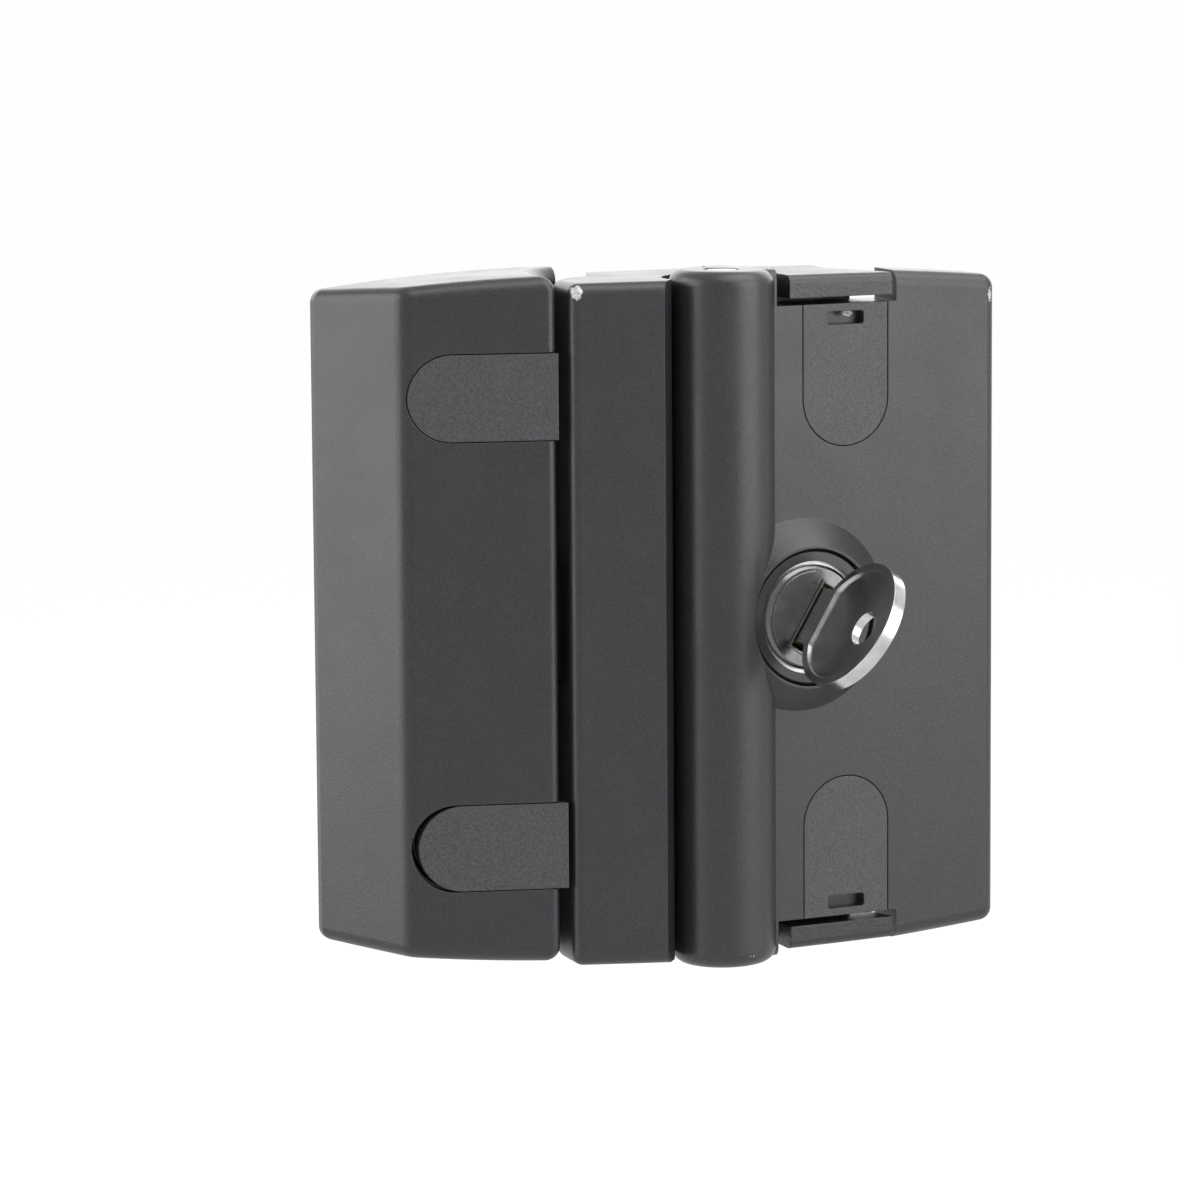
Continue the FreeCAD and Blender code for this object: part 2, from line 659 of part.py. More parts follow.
def make_lock_base():
    base = base_block()
    base = base.fuse(both(end_wall())).fuse(both(hinge_lug())).fuse(catch())
    gap = PLATE_CLEARANCE
    plate_room = box(PLATE_LEFT_X - gap, PLATE_RIGHT_X + gap, -1, PLATE_THICKNESS,
                     -PLATE_HALF_HEIGHT - gap, PLATE_HALF_HEIGHT + gap)
    head_pocket = rod(0, 0, PLATE_THICKNESS + LOW_HEAD_HEIGHT + PLATE_CLEARANCE, MOUNT_SCREW_Z,
                      KEEPER_HEAD_RADIUS + HEAD_POCKET_CLEARANCE)
    bore = post(PIN_X, PIN_DEPTH, 0, FAR, PIN_RADIUS)
    set_hole = rod(PIN_X, 0, PIN_DEPTH, set_screw_z(), SET_SCREW_RADIUS)
    fixing = rod(BASE_SCREW_X, 0, BASE_FLOOR_DEPTH + 1, MOUNT_SCREW_Z,
                 BASE_SCREW_RADIUS + SCREW_HOLE_CLEARANCE)
    fixing_head = rod(BASE_SCREW_X, base_screw_seat(), BASE_FLOOR_DEPTH + 1, MOUNT_SCREW_Z,
                      BASE_HEAD_RADIUS + SCREW_HOLE_CLEARANCE)
    cuts = both(head_pocket.fuse(bore).fuse(set_hole).fuse(fixing).fuse(fixing_head))
    return base.cut(plate_room).cut(latch_space()).cut(cuts).removeSplitter()


def make_mounting_plate():
    """Steel plate screwed to the rail; the base sits over it."""
    plate = box(PLATE_LEFT_X, PLATE_RIGHT_X, 0, PLATE_THICKNESS,
                -PLATE_HALF_HEIGHT, PLATE_HALF_HEIGHT)
    corners = [edge for edge in plate.Edges if edge.BoundBox.YLength > PLATE_THICKNESS / 2]
    plate = round_over(plate, corners, PLATE_THICKNESS / 2)
    hole = rod(0, -1, FAR, MOUNT_SCREW_Z, SCREW_RADIUS + SCREW_HOLE_CLEARANCE)
    tapped = rod(BASE_SCREW_X, -1, FAR, MOUNT_SCREW_Z, BASE_SCREW_RADIUS)
    return plate.cut(both(hole.fuse(tapped)))


def make_mounting_screw():
    return rail_screw(0, PLATE_THICKNESS, MOUNT_SCREW_Z, LOW_HEAD_HEIGHT)


def make_base_screw():
    return socket_screw(BASE_SCREW_X, base_screw_seat(), MOUNT_SCREW_Z, BASE_SCREW_RADIUS,
                        BASE_HEAD_RADIUS, BASE_HEAD_HEIGHT)


def make_hinge_pin():
    half = crown_z(FLAP_CROWN, PIN_X) - PIN_END_INSET
    pin = post(PIN_X, PIN_DEPTH, -half, half, PIN_RADIUS)
    rims = [edge for edge in pin.Edges if edge.BoundBox.ZLength < 0.01]
    return pin.makeChamfer(PIN_RADIUS / 6, rims)


def make_pin_set_screws():
    """Two grub screws that clamp the pin in the lugs."""
    end = PIN_DEPTH - PIN_RADIUS
    screw = rod(PIN_X, end - SET_SCREW_LENGTH, end, set_screw_z(), SET_SCREW_RADIUS)
    return Part.makeCompound([screw, mirrored(screw)])


# Grip flap

def flap_slab(front_inset, left, right, back_right, back_left):
    """Plan outline of a slab behind the flap's front face."""
    return [(left, flap_depth(left) - front_inset), (right, flap_depth(right) - front_inset),
            (right, back_right), (left, back_left)]


def swing_room(radius, half_width, low, high):
    """Space that a fixed web needs in the turning barrel: a slice of a disc that spans
    the web and the flap's swing."""
    spare = math.degrees(math.asin(half_width / (LUG_RADIUS + LUG_CLEARANCE)))
    piece = Part.makeCylinder(radius, high - low, at(PIN_X, PIN_DEPTH, low), UP,
                              FLAP_OPENING + 2 * spare)
    piece.rotate(at(PIN_X, PIN_DEPTH, low), UP, 90 - spare)
    return piece


def flap_notch():
    """Cut-out at the upper end of the flap, round the base's tab. Near the hinge it
    follows a circle about the pin, so that the flap turns clear of the tab."""
    opening = box(PIN_X, TAB_RIGHT_X + NOTCH_SIDE_GAP, 0, FAR, TAB_INNER_Z - TAB_GAP, FAR / 2)
    return opening.cut(post(PIN_X, PIN_DEPTH, 0, FAR, BARREL_RADIUS + NOTCH_HUB_WALL))


def cam_room():
    """Space behind the cylinder where the cam turns."""
    room = flap_frame(drum(TONGUE_LENGTH + LUG_CLEARANCE * 2, -FAR / 2, -BODY_BACK))
    left = PIN_X + PIN_RADIUS + WALL
    return room.common(box(left, FLAP_RIGHT_X, 0, FAR, -FAR / 2, FAR / 2))


def flap_cap_prism(grow, depth_low):
    """U-shaped tongue in the flap's face, open at the notch."""
    radius = FLAP_CAP_RADIUS + grow
    end = TAB_INNER_Z - TAB_GAP
    left, right = FLAP_CAP_X - radius, FLAP_CAP_X + radius
    wire = Part.Wire([Part.Arc(V(left, 0, FLAP_CAP_Z), V(FLAP_CAP_X, 0, FLAP_CAP_Z - radius),
                               V(right, 0, FLAP_CAP_Z)).toShape(),
                      Part.makeLine(V(right, 0, FLAP_CAP_Z), V(right, 0, end)),
                      Part.makeLine(V(right, 0, end), V(left, 0, end)),
                      Part.makeLine(V(left, 0, end), V(left, 0, FLAP_CAP_Z))])
    column = Part.Face(wire).extrude(TO_FRONT * FAR)
    band = prism([(0, flap_depth(0) - depth_low), (0, FAR), (FLAP_RIGHT_X, FAR),
                  (FLAP_RIGHT_X, flap_depth(FLAP_RIGHT_X) - depth_low)], 0, FAR)
    return column.common(band)


def pry_slot(depth):
    """Slot for a screwdriver near the open end of a flap cap."""
    half = PRY_SLOT_LENGTH / 2
    slot = box(FLAP_CAP_X - half, FLAP_CAP_X + half, flap_depth(FLAP_CAP_X) - depth, FAR,
               PRY_SLOT_Z - PRY_SLOT_WIDTH / 2, PRY_SLOT_Z + PRY_SLOT_WIDTH / 2)
    edges = [edge for edge in slot.Edges if edge.BoundBox.YLength > 1]
    return round_over(slot, edges, PRY_SLOT_WIDTH / 4)


def make_flap_cap():
    face_side = prism([(0, 0), (0, flap_depth(0)), (FLAP_RIGHT_X, flap_depth(FLAP_RIGHT_X)),
                       (FLAP_RIGHT_X, 0)], 0, FAR)
    cap = flap_cap_prism(0.0, CAP_THICKNESS).common(face_side)
    return cap.cut(pry_slot(CAP_THICKNESS + 1))


def make_grip_flap():
    barrel = crowned(post(PIN_X, PIN_DEPTH, -FAR, FAR, BARREL_RADIUS), FLAP_CROWN)
    rims = crown_edges(barrel, FLAP_CROWN, lambda x, depth: True)
    barrel = round_over(barrel, rims, END_ROUND)

    outline = [(PIN_X, flap_depth(PIN_X)), (FLAP_RIGHT_X, flap_depth(FLAP_RIGHT_X)),
               (FLAP_RIGHT_X, FLAP_RIM_DEPTH), (TAB_RIGHT_X + TAB_GAP, FLAP_BACK_DEPTH),
               (PIN_X, FLAP_BACK_DEPTH)]
    plate = crowned(prism(outline, -FAR, FAR), FLAP_CROWN)
    rims = crown_edges(plate, FLAP_CROWN,
                       lambda x, depth: x > PIN_X + 0.1 and depth > FLAP_BACK_DEPTH + 0.5)
    corner = upright_edges(plate, [(FLAP_RIGHT_X, flap_depth(FLAP_RIGHT_X))])
    plate = round_over(plate, rims + corner, END_ROUND)
    plate = plate.cut(both(flap_notch()))

    boss = flap_frame(Part.makeCone(BOSS_BASE_RADIUS, BOSS_TOP_RADIUS, BOSS_HEIGHT))
    flap = barrel.fuse(plate).fuse(boss)

    low_end = TAB_INNER_Z - TAB_GAP - FLANGE_WALL
    right = FLAP_RIGHT_X - WALL
    middle = prism(flap_slab(WALL, FLAP_WEB_X, right, 0, 0), -low_end, low_end)
    side = crowned(prism(flap_slab(WALL, TAB_RIGHT_X + TAB_GAP + WALL, right, 0, 0), -FAR, FAR),
                   FLAP_CROWN, WALL)
    tray = flap_cap_prism(CAP_GAP + WALL / 2, CAP_THICKNESS + WALL / 2)
    cylinder_seat = flap_frame(drum(BOSS_BASE_RADIUS, -WALL, BOSS_HEIGHT))
    hollow = middle.fuse(side).cut(both(tray)).cut(cylinder_seat)

    pin_bore = post(PIN_X, PIN_DEPTH, -FAR / 2, FAR / 2, PIN_RADIUS + PIN_RUNNING_FIT)
    low, high = LUG_LOW_Z - LUG_CLEARANCE, LUG_HIGH_Z + LUG_CLEARANCE
    lug_room = post(PIN_X, PIN_DEPTH, low, high, LUG_RADIUS + LUG_CLEARANCE)
    web_room = swing_room(BARREL_RADIUS * 1.5, LUG_WEB / 2 + LUG_CLEARANCE, low, high)
    access = rod(BASE_SCREW_X, 0, FAR, MOUNT_SCREW_Z, ACCESS_HOLE_RADIUS)
    recess = flap_cap_prism(CAP_GAP, CAP_THICKNESS)
    cuts = both(lug_room.fuse(web_room).fuse(recess).fuse(access))
    collar_bore = flap_frame(drum(COLLAR_RADIUS, COLLAR_BACK, FAR))
    body_bore = flap_frame(drum(BODY_RADIUS, -FAR / 2, FAR))
    body_bore = body_bore.common(box(-FAR, FAR, 0, FAR, -FAR / 2, FAR / 2))
    flap = flap.cut(hollow).cut(cuts).cut(pin_bore).cut(collar_bore).cut(body_bore)
    return flap.cut(both(lever_blank())).cut(cam_room()).removeSplitter()


def lever_blank():
    """Outline of the upper release lever as it lies at rest: an eye round the pin and an
    arm that leans towards the keeper."""
    low, high = LEVER_Z - LEVER_THICKNESS / 2, LEVER_Z + LEVER_THICKNESS / 2
    eye = post(PIN_X, PIN_DEPTH, low, high, LEVER_EYE_RADIUS)
    arm = box(PIN_X - LEVER_TIP_RADIUS, PIN_X + LEVER_TIP_RADIUS, PIN_DEPTH - LEVER_REACH,
              PIN_DEPTH, low, high)
    tip = post(PIN_X, PIN_DEPTH - LEVER_REACH, low, high, LEVER_TIP_RADIUS)
    arm = arm.fuse(tip).removeSplitter()
    arm.rotate(at(PIN_X, PIN_DEPTH), UP, math.degrees(LEVER_ANGLE))
    return eye.fuse(arm)


def make_release_lever():
    bore = post(PIN_X, PIN_DEPTH, 0, FAR, PIN_RADIUS + PIN_RUNNING_FIT)
    return lever_blank().cut(bore).removeSplitter()


# Latch

def make_latch_bolt():
    """Latch slide: bevelled head, bridge under the barrel and tail with the lever's slot."""
    items = [(LATCH_TIP_X, LATCH_FRONT_DEPTH), (LATCH_HEAD_END_X, LATCH_FRONT_DEPTH),
             (LATCH_HEAD_END_X, LATCH_BRIDGE_DEPTH), (LATCH_LEG_RIGHT_X, LATCH_BRIDGE_DEPTH),
             (LATCH_LEG_RIGHT_X, LATCH_TAIL_BACK), (LATCH_LEG_LEFT_X, LATCH_TAIL_BACK),
             (LATCH_LEG_LEFT_X, LATCH_STEP_DEPTH), (NOSE_CENTRE_X, LATCH_STEP_DEPTH),
             (NOSE_CENTRE_X - 1, LATCH_BACK_DEPTH),
             (LATCH_TIP_X + LATCH_BEVEL_X, LATCH_BACK_DEPTH),
             (LATCH_TIP_X, LATCH_BACK_DEPTH + LATCH_BEVEL_DEPTH)]
    latch = prism(items, -LATCH_HALF_HEIGHT, LATCH_HALF_HEIGHT)
    latch = round_over(latch, upright_edges(latch, [(LATCH_TIP_X, LATCH_FRONT_DEPTH)]), 0.5)
    tail = box(LATCH_LEG_LEFT_X, LATCH_TAIL_END_X, LATCH_TAIL_BACK, LATCH_TAIL_FRONT,
               -LATCH_TAIL_HALF_HEIGHT, LATCH_TAIL_HALF_HEIGHT)
    tip_x = PIN_X - LEVER_REACH * math.sin(LEVER_ANGLE)
    half = LEVER_TIP_RADIUS + LEVER_GAP
    lever_half = LEVER_THICKNESS / 2 + LUG_CLEARANCE
    slot = box(tip_x - half, tip_x + half, 0, BASE_FLOOR_DEPTH,
               LEVER_Z - lever_half, LEVER_Z + lever_half)
    return latch.fuse(tail).cut(both(slot)).removeSplitter()


def make_latch_springs():
    """Two compression springs behind the latch's tail, drawn as closed coils of wire."""
    depth = (LATCH_TAIL_FRONT + LATCH_TAIL_BACK) / 2
    length = CAVITY_END_X - LATCH_TAIL_END_X
    coils = []
    for side in (1, -1):
        for turn in range(SPRING_TURNS):
            step = (length - SPRING_WIRE) / (SPRING_TURNS - 1)
            x = LATCH_TAIL_END_X + SPRING_WIRE / 2 + turn * step
            centre = at(x, depth, side * SPRING_Z)
            coils.append(Part.makeTorus(SPRING_RADIUS - SPRING_WIRE / 2, SPRING_WIRE / 2,
                                        centre, V(1, 0, 0)))
    return Part.makeCompound(coils)


# Key cylinder

def make_cylinder_collar():
    high = BOSS_HEIGHT - COLLAR_DROP
    ring = drum(COLLAR_RADIUS, COLLAR_BACK, high)
    rim = [edge for edge in ring.Edges if abs(edge.BoundBox.Center.z - high) < 0.01]
    ring = ring.makeChamfer(COLLAR_CHAMFER, rim)
    return flap_frame(ring.cut(drum(BODY_RADIUS, COLLAR_BACK, high)))


def make_cylinder_body():
    high = BOSS_HEIGHT - BODY_DROP
    body = drum(BODY_RADIUS, -BODY_BACK, high)
    groove = drum(BODY_RADIUS, -WALL - CLIP_THICKNESS, -WALL)
    body = body.cut(groove.cut(drum(CLIP_GROOVE_RADIUS, -FAR, FAR)))
    return flap_frame(body.cut(drum(PLUG_RADIUS + PLUG_FIT, -BODY_BACK, high)))


def make_cylinder_clip():
    """Horseshoe clip in the cylinder's groove, pushed in from the flap's free edge."""
    clip = drum(CLIP_RADIUS, -WALL - CLIP_THICKNESS, -WALL)
    mouth = Part.makeBox(FAR, 2 * CLIP_GROOVE_RADIUS, FAR, V(-FAR, -CLIP_GROOVE_RADIUS, -FAR / 2))
    clip = clip.cut(mouth).cut(drum(CLIP_GROOVE_RADIUS, -FAR, FAR))
    tail = Part.makeBox(FAR, FAR, FAR, V(-FAR - CLIP_ARM, -FAR / 2, -FAR / 2))
    return flap_frame(clip.cut(tail))


def plug_back():
    return -BODY_BACK - PLUG_OVERHANG


def wafer_levels():
    """Low faces of the wafers along the plug."""
    first = plug_back() + WAFER_PITCH / 2
    return [first + i * WAFER_PITCH for i in range(WAFER_COUNT)]


def make_cylinder_plug():
    high = BOSS_HEIGHT - PLUG_DROP
    shoulder = high - PLUG_HEAD_THICKNESS
    head = drum(PLUG_HEAD_RADIUS, shoulder, high)
    rim = [edge for edge in head.Edges if abs(edge.BoundBox.Center.z - high) < 0.01]
    head = head.makeChamfer(PLUG_BEVEL, rim)
    plug = head.fuse(drum(PLUG_RADIUS, plug_back(), shoulder)).removeSplitter()
    plug = plug.cut(block(KEYWAY_WIDTH / 2, KEYWAY_LENGTH / 2, plug_back() + CAM_SCREW_REACH, FAR))
    for level in wafer_levels():
        if level > plug_back() + CAM_SCREW_REACH:
            plug = plug.cut(block(WAFER_WIDTH / 2 + WAFER_GAP, WAFER_LENGTH / 2 + WAFER_GAP,
                                  level, level + WAFER_THICKNESS + WAFER_GAP))
    plug = plug.cut(drum(CAM_SCREW_RADIUS, plug_back(), plug_back() + CAM_SCREW_REACH))
    return key_frame(plug)


def make_plug_wafers():
    """Thin brass wafers, each with a window for the key's blade."""
    wafers = []
    for level in wafer_levels():
        if level > plug_back() + CAM_SCREW_REACH:
            plate = block(WAFER_WIDTH / 2, WAFER_LENGTH / 2, level, level + WAFER_THICKNESS)
            window = block(KEYWAY_WIDTH / 2, KEY_BLADE_WIDTH / 2 + WAFER_GAP * 4, -FAR, FAR)
            wafers.append(key_frame(plate.cut(window)))
    return Part.makeCompound(wafers)


def make_cam_tongue():
    """Cam on the plug's back end. At rest its tongue points up and right, short of the
    catch."""
    low = plug_back() - TONGUE_THICKNESS
    hub = drum(PLUG_RADIUS * 0.75, low, plug_back())
    arm = Part.makeBox(TONGUE_WIDTH, TONGUE_LENGTH, TONGUE_THICKNESS,
                       V(-TONGUE_WIDTH / 2, 0, low))
    cam = hub.fuse(arm).removeSplitter()
    return key_frame(cam.cut(drum(CAM_SCREW_RADIUS, low, plug_back())))


def make_cam_screw():
    low = plug_back() - TONGUE_THICKNESS
    shank = drum(CAM_SCREW_RADIUS, low, plug_back() + CAM_SCREW_REACH)
    head = drum(CAM_HEAD_RADIUS, low - CAM_HEAD_HEIGHT, low)
    slot = block(CAM_HEAD_RADIUS, WAFER_THICKNESS / 2, low - CAM_HEAD_HEIGHT,
                 low - CAM_HEAD_HEIGHT / 2)
    return key_frame(shank.fuse(head).cut(slot))


def make_key():
    """Flat key: blade along the cylinder's axis and a round rimmed head across it. The
    head's plane holds the axis and the keyway."""
    face = BOSS_HEIGHT - PLUG_DROP
    centre = V(0, 0, face + KEY_HEAD_OFFSET)
    across = V(1, 0, 0)
    half = KEY_THICKNESS / 2
    head = Part.makeCylinder(KEY_HEAD_RADIUS, KEY_THICKNESS, centre - across * half, across)
    dish_radius = KEY_HEAD_RADIUS - KEY_RIM
    web = KEY_WEB_THICKNESS / 2
    for low in (web, -half):
        head = head.cut(Part.makeCylinder(dish_radius, half - web, centre + across * low, across))
    hole = Part.makeCylinder(KEY_HOLE_RADIUS, FAR, centre + V(-FAR / 2, 0, KEY_HOLE_OFFSET), across)
    low = plug_back() + CAM_SCREW_REACH + KEY_BLADE_END_GAP
    blade = block(KEYWAY_WIDTH / 2 - 0.1, KEY_BLADE_WIDTH / 2, low, centre.z - dish_radius * 0.86)
    return key_frame(head.cut(hole).fuse(blade).removeSplitter())


def main():
    os.makedirs("parts", exist_ok=True)
    keeper_cap = make_keeper_cap()
    lower_cap = mirrored(keeper_cap)
    lower_cap.translate(V(KEEPER_CAP_SLIP, -KEEPER_CAP_SLIP * (
        keeper_front_depth(1) - keeper_front_depth(0)), 0))
    flap_cap = make_flap_cap()
    keeper_nodes = {
        "keeper_housing": make_keeper_housing(),
        "keeper_cap_upper": keeper_cap,
        "keeper_cap_lower": lower_cap,
        "keeper_screw_upper": make_keeper_screw(),
        "keeper_screw_lower": mirrored(make_keeper_screw()),
        "strike_plate": make_strike_plate(),
        "strike_screws": make_strike_screws(),
    }
    for shape in keeper_nodes.values():
        shape.translate(UP * KEEPER_LIFT)
    nodes = {
        **keeper_nodes,
        "lock_base": make_lock_base(),
        "mounting_plate": make_mounting_plate(),
        "mounting_screw_upper": make_mounting_screw(),
        "mounting_screw_lower": mirrored(make_mounting_screw()),
        "base_screw_upper": make_base_screw(),
        "base_screw_lower": mirrored(make_base_screw()),
        "hinge_pin": make_hinge_pin(),
        "pin_set_screws": make_pin_set_screws(),
        "latch_bolt": make_latch_bolt(),
        "latch_springs": make_latch_springs(),
        "grip_flap": make_grip_flap(),
        "flap_cap_upper": flap_cap,
        "flap_cap_lower": mirrored(flap_cap),
        "release_lever_upper": make_release_lever(),
        "release_lever_lower": mirrored(make_release_lever()),
        "cylinder_collar": make_cylinder_collar(),
        "cylinder_body": make_cylinder_body(),
        "cylinder_clip": make_cylinder_clip(),
        "cylinder_plug": make_cylinder_plug(),
        "plug_wafers": make_plug_wafers(),
        "cam_tongue": make_cam_tongue(),
        "cam_screw": make_cam_screw(),
        "key": make_key(),
    }
    for name, shape in nodes.items():
        shape.exportStep(f"parts/{name}.step")
        size = shape.BoundBox
        print(f"{name:22s} solids {len(shape.Solids)} valid {shape.isValid()} "
              f"volume {shape.Volume:9.1f}  x {size.XMin:6.1f} {size.XMax:6.1f}  "
              f"y {size.YMin:6.1f} {size.YMax:6.1f}  z {size.ZMin:6.1f} {size.ZMax:6.1f}")


main()
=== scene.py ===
import math

import bmesh
import bpy
from bpy.props import FloatProperty, FloatVectorProperty, IntProperty, PointerProperty
from mathutils import Matrix, Vector


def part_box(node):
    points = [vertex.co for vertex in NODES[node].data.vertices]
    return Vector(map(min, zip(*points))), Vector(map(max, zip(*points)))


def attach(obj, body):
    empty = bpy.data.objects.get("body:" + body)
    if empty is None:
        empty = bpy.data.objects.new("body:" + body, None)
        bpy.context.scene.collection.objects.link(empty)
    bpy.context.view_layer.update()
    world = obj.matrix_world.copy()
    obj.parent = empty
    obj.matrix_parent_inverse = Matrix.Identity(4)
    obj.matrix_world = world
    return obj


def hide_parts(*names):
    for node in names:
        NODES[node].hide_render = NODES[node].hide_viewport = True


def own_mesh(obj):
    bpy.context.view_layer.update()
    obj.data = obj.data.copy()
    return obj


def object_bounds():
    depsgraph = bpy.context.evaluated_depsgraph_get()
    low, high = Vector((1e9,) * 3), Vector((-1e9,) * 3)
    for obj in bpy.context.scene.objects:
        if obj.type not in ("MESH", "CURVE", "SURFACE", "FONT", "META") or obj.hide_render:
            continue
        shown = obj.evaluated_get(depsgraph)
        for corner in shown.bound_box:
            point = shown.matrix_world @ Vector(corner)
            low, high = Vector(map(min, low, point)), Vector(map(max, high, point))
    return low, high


bl_info = {
    "name": "Surface-mounted lock",
    "version": (1, 0, 0),
    "blender": (4, 5, 0),
    "location": "3D View > Sidebar > Lock",
    "description": "Finishes, small pieces and studio for a surface-mounted lock",
    "category": "Object",
}

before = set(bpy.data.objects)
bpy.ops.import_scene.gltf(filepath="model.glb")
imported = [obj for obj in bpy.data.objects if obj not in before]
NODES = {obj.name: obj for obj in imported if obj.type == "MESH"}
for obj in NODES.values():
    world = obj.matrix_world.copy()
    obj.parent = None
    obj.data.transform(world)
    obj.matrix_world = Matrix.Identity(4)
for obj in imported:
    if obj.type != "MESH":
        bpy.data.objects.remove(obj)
CAD_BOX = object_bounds()

MM = 0.001

# Node kinds that come up most
MATH = "ShaderNodeMath"
RANGE = "ShaderNodeMapRange"
NOISE = "ShaderNodeTexNoise"

# Spread of the noise patterns: share kept by each finer octave, and their usual low and high
NOISE_GAIN = 0.55
NOISE_LOW, NOISE_HIGH = (0.33, 0.33, 0.33), (0.67, 0.67, 0.67)

# Places of the lock's own frame, in metres
BASE_LOW = Vector(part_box("lock_base")[0])
FLAP_HIGH = Vector(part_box("grip_flap")[1])
UP = Vector((0.0, 0.0, 1.0))
FACE_TILT = math.radians(6.0)
FACE_NORMAL = Vector((math.sin(FACE_TILT), -math.cos(FACE_TILT), 0.0))
FACE_ACROSS = Vector((math.cos(FACE_TILT), math.sin(FACE_TILT), 0.0))
CYLINDER_SEAT = Vector((9.7, -19.4, 0.0)) * MM
PLUG_FACE_RISE = 3.5  # mm from the cylinder's seat
KEY_TURN = math.radians(32.0)


def srgb(hex_colour):
    """Linear colour, with alpha, of an sRGB hex value."""
    channels = [int(hex_colour[i:i + 2], 16) / 255 for i in (1, 3, 5)]
    linear = [c / 12.92 if c <= 0.04045 else ((c + 0.055) / 1.055) ** 2.4 for c in channels]
    return (*linear, 1.0)


# Settings

class LockCamera(bpy.types.PropertyGroup):
    azimuth: FloatProperty(name="Azimuth", description="Angle of the view from straight ahead",
                           default=math.radians(-20.8), subtype="ANGLE", unit="ROTATION")
    elevation: FloatProperty(name="Elevation", description="Angle of the view above the level",
                             default=math.radians(7.4), subtype="ANGLE", unit="ROTATION")
    roll: FloatProperty(name="Roll", description="Turn of the camera about its own axis",
                        default=math.radians(-0.42), subtype="ANGLE", unit="ROTATION")
    distance: FloatProperty(name="Distance", description="From the lens to the aim",
                            default=0.72, unit="LENGTH")
    lens: FloatProperty(name="Lens", description="Focal length in mm on a 36 mm sensor", default=158.2)
    aim: FloatVectorProperty(name="Aim", description="Point that the camera looks at",
                             default=(-0.0223, -0.020, 0.0052), subtype="XYZ", unit="LENGTH")


class LockStudio(bpy.types.PropertyGroup):
    floor_drop: FloatProperty(name="Floor drop", description="From the lock's lower end to the floor",
                              default=0.11, unit="LENGTH")
    backdrop: FloatVectorProperty(name="Backdrop", description="Colour of floor and surroundings",
                                  default=srgb("#FFFFFF")[:3], subtype="COLOR")
    front: FloatProperty(name="Front level", description="Light from the room in front of the lock; "
                         "the backdrop behind it is 1", default=0.7, subtype="FACTOR", min=0, max=1)
    right_box: FloatProperty(name="Right softbox", description="Radiance of the front right lamp",
                             default=3.6)
    left_box: FloatProperty(name="Left softbox", description="Radiance of the left lamp", default=3.2)
    top_box: FloatProperty(name="Top softbox", description="Radiance of the lamp overhead", default=3.24)
    back_box: FloatProperty(name="Back softbox", description="Radiance of the lamp behind", default=1.9)


class LockCoat(bpy.types.PropertyGroup):
    # One powder coat in three tones, keeper darkest and flap lightest: painted light and shade that
    # follow how brightly each casting's face is lit.
    keeper: FloatVectorProperty(name="Keeper coat", description="Colour of the keeper's powder coat",
                                default=srgb("#1D1D20")[:3], subtype="COLOR")
    base: FloatVectorProperty(name="Base coat", description="Colour of the lock base's powder coat",
                              default=srgb("#1E1E21")[:3], subtype="COLOR")
    flap: FloatVectorProperty(name="Flap coat", description="Colour of the grip flap's powder coat",
                              default=srgb("#202023")[:3], subtype="COLOR")
    grain: FloatProperty(name="Grain", description="Width of the coat's ripples",
                         default=0.45 * MM, subtype="DISTANCE", unit="LENGTH")
    peel: FloatProperty(name="Peel", description="Height of the coat's ripples",
                        default=0.018 * MM, subtype="DISTANCE", unit="LENGTH")


class LockCaps(bpy.types.PropertyGroup):
    keeper: FloatVectorProperty(name="Keeper caps", description="Colour of the keeper's caps",
                                default=srgb("#2E2E31")[:3], subtype="COLOR")
    flap: FloatVectorProperty(name="Flap caps", description="Colour of the flap's caps",
                              default=srgb("#2E2E31")[:3], subtype="COLOR")
    grain: FloatProperty(name="Grain", description="Width of the spark-eroded grain",
                         default=0.28 * MM, subtype="DISTANCE", unit="LENGTH")


class LockMetal(bpy.types.PropertyGroup):
    nickel: FloatVectorProperty(name="Nickel", description="Colour of key, plug and ring",
                                default=srgb("#CBCBCA")[:3], subtype="COLOR")
    zinc: FloatVectorProperty(name="Zinc", description="Colour of plated steel and bare casting",
                              default=srgb("#B4B6BA")[:3], subtype="COLOR")
    # Painted shade: the latch and strike plate are coloured near black, standing in for the shade in the
    # gap between keeper and lock base.
    latch: FloatVectorProperty(name="Latch", description="Colour of the greased latch and strike plate",
                               default=srgb("#2C2C2E")[:3], subtype="COLOR")
    # Painted shade: the plug's nickel is coloured far darker than the key's, standing in for the dark
    # reflections on its face.
    plug: FloatVectorProperty(name="Plug", description="Colour of the plug's worn nickel",
                              default=srgb("#767676")[:3], subtype="COLOR")
    brass: FloatVectorProperty(name="Brass", description="Colour of the wafers",
                               default=srgb("#C8A45C")[:3], subtype="COLOR")


class LockSprings(bpy.types.PropertyGroup):
    wire: FloatProperty(name="Wire", description="Thickness of the spring wire",
                        default=0.5 * MM, subtype="DISTANCE", unit="LENGTH")
    turns: IntProperty(name="Turns", description="Turns of each spring", default=7)


# Materials

def add_node(tree, kind, inputs=None, wanted=None, **settings):
    """Adds a node; an input's value is a number, a colour or another node's output. Gives back
    the node, or its wanted output."""
    node = tree.nodes.new(kind)
    for name, value in settings.items():
        setattr(node, name, value)
    for key, value in (inputs or {}).items():
        if isinstance(value, bpy.types.NodeSocket):
            tree.links.new(value, node.inputs[key])
        else:
            node.inputs[key].default_value = value
    return node if wanted is None else node.outputs[wanted]


def start_material(name):
    """Empty material with its output and coordinates in mm of the lock's frame."""
    material = bpy.data.materials.new(name)
    material.use_nodes = True
    tree = material.node_tree
    tree.nodes.clear()
    output = add_node(tree, "ShaderNodeOutputMaterial")
    place = add_node(tree, "ShaderNodeTexCoord").outputs["Object"]
    scaled = add_node(tree, "ShaderNodeVectorMath", {0: place, "Scale": 1 / MM}, operation="SCALE")
    return material, tree, output, scaled.outputs["Vector"]


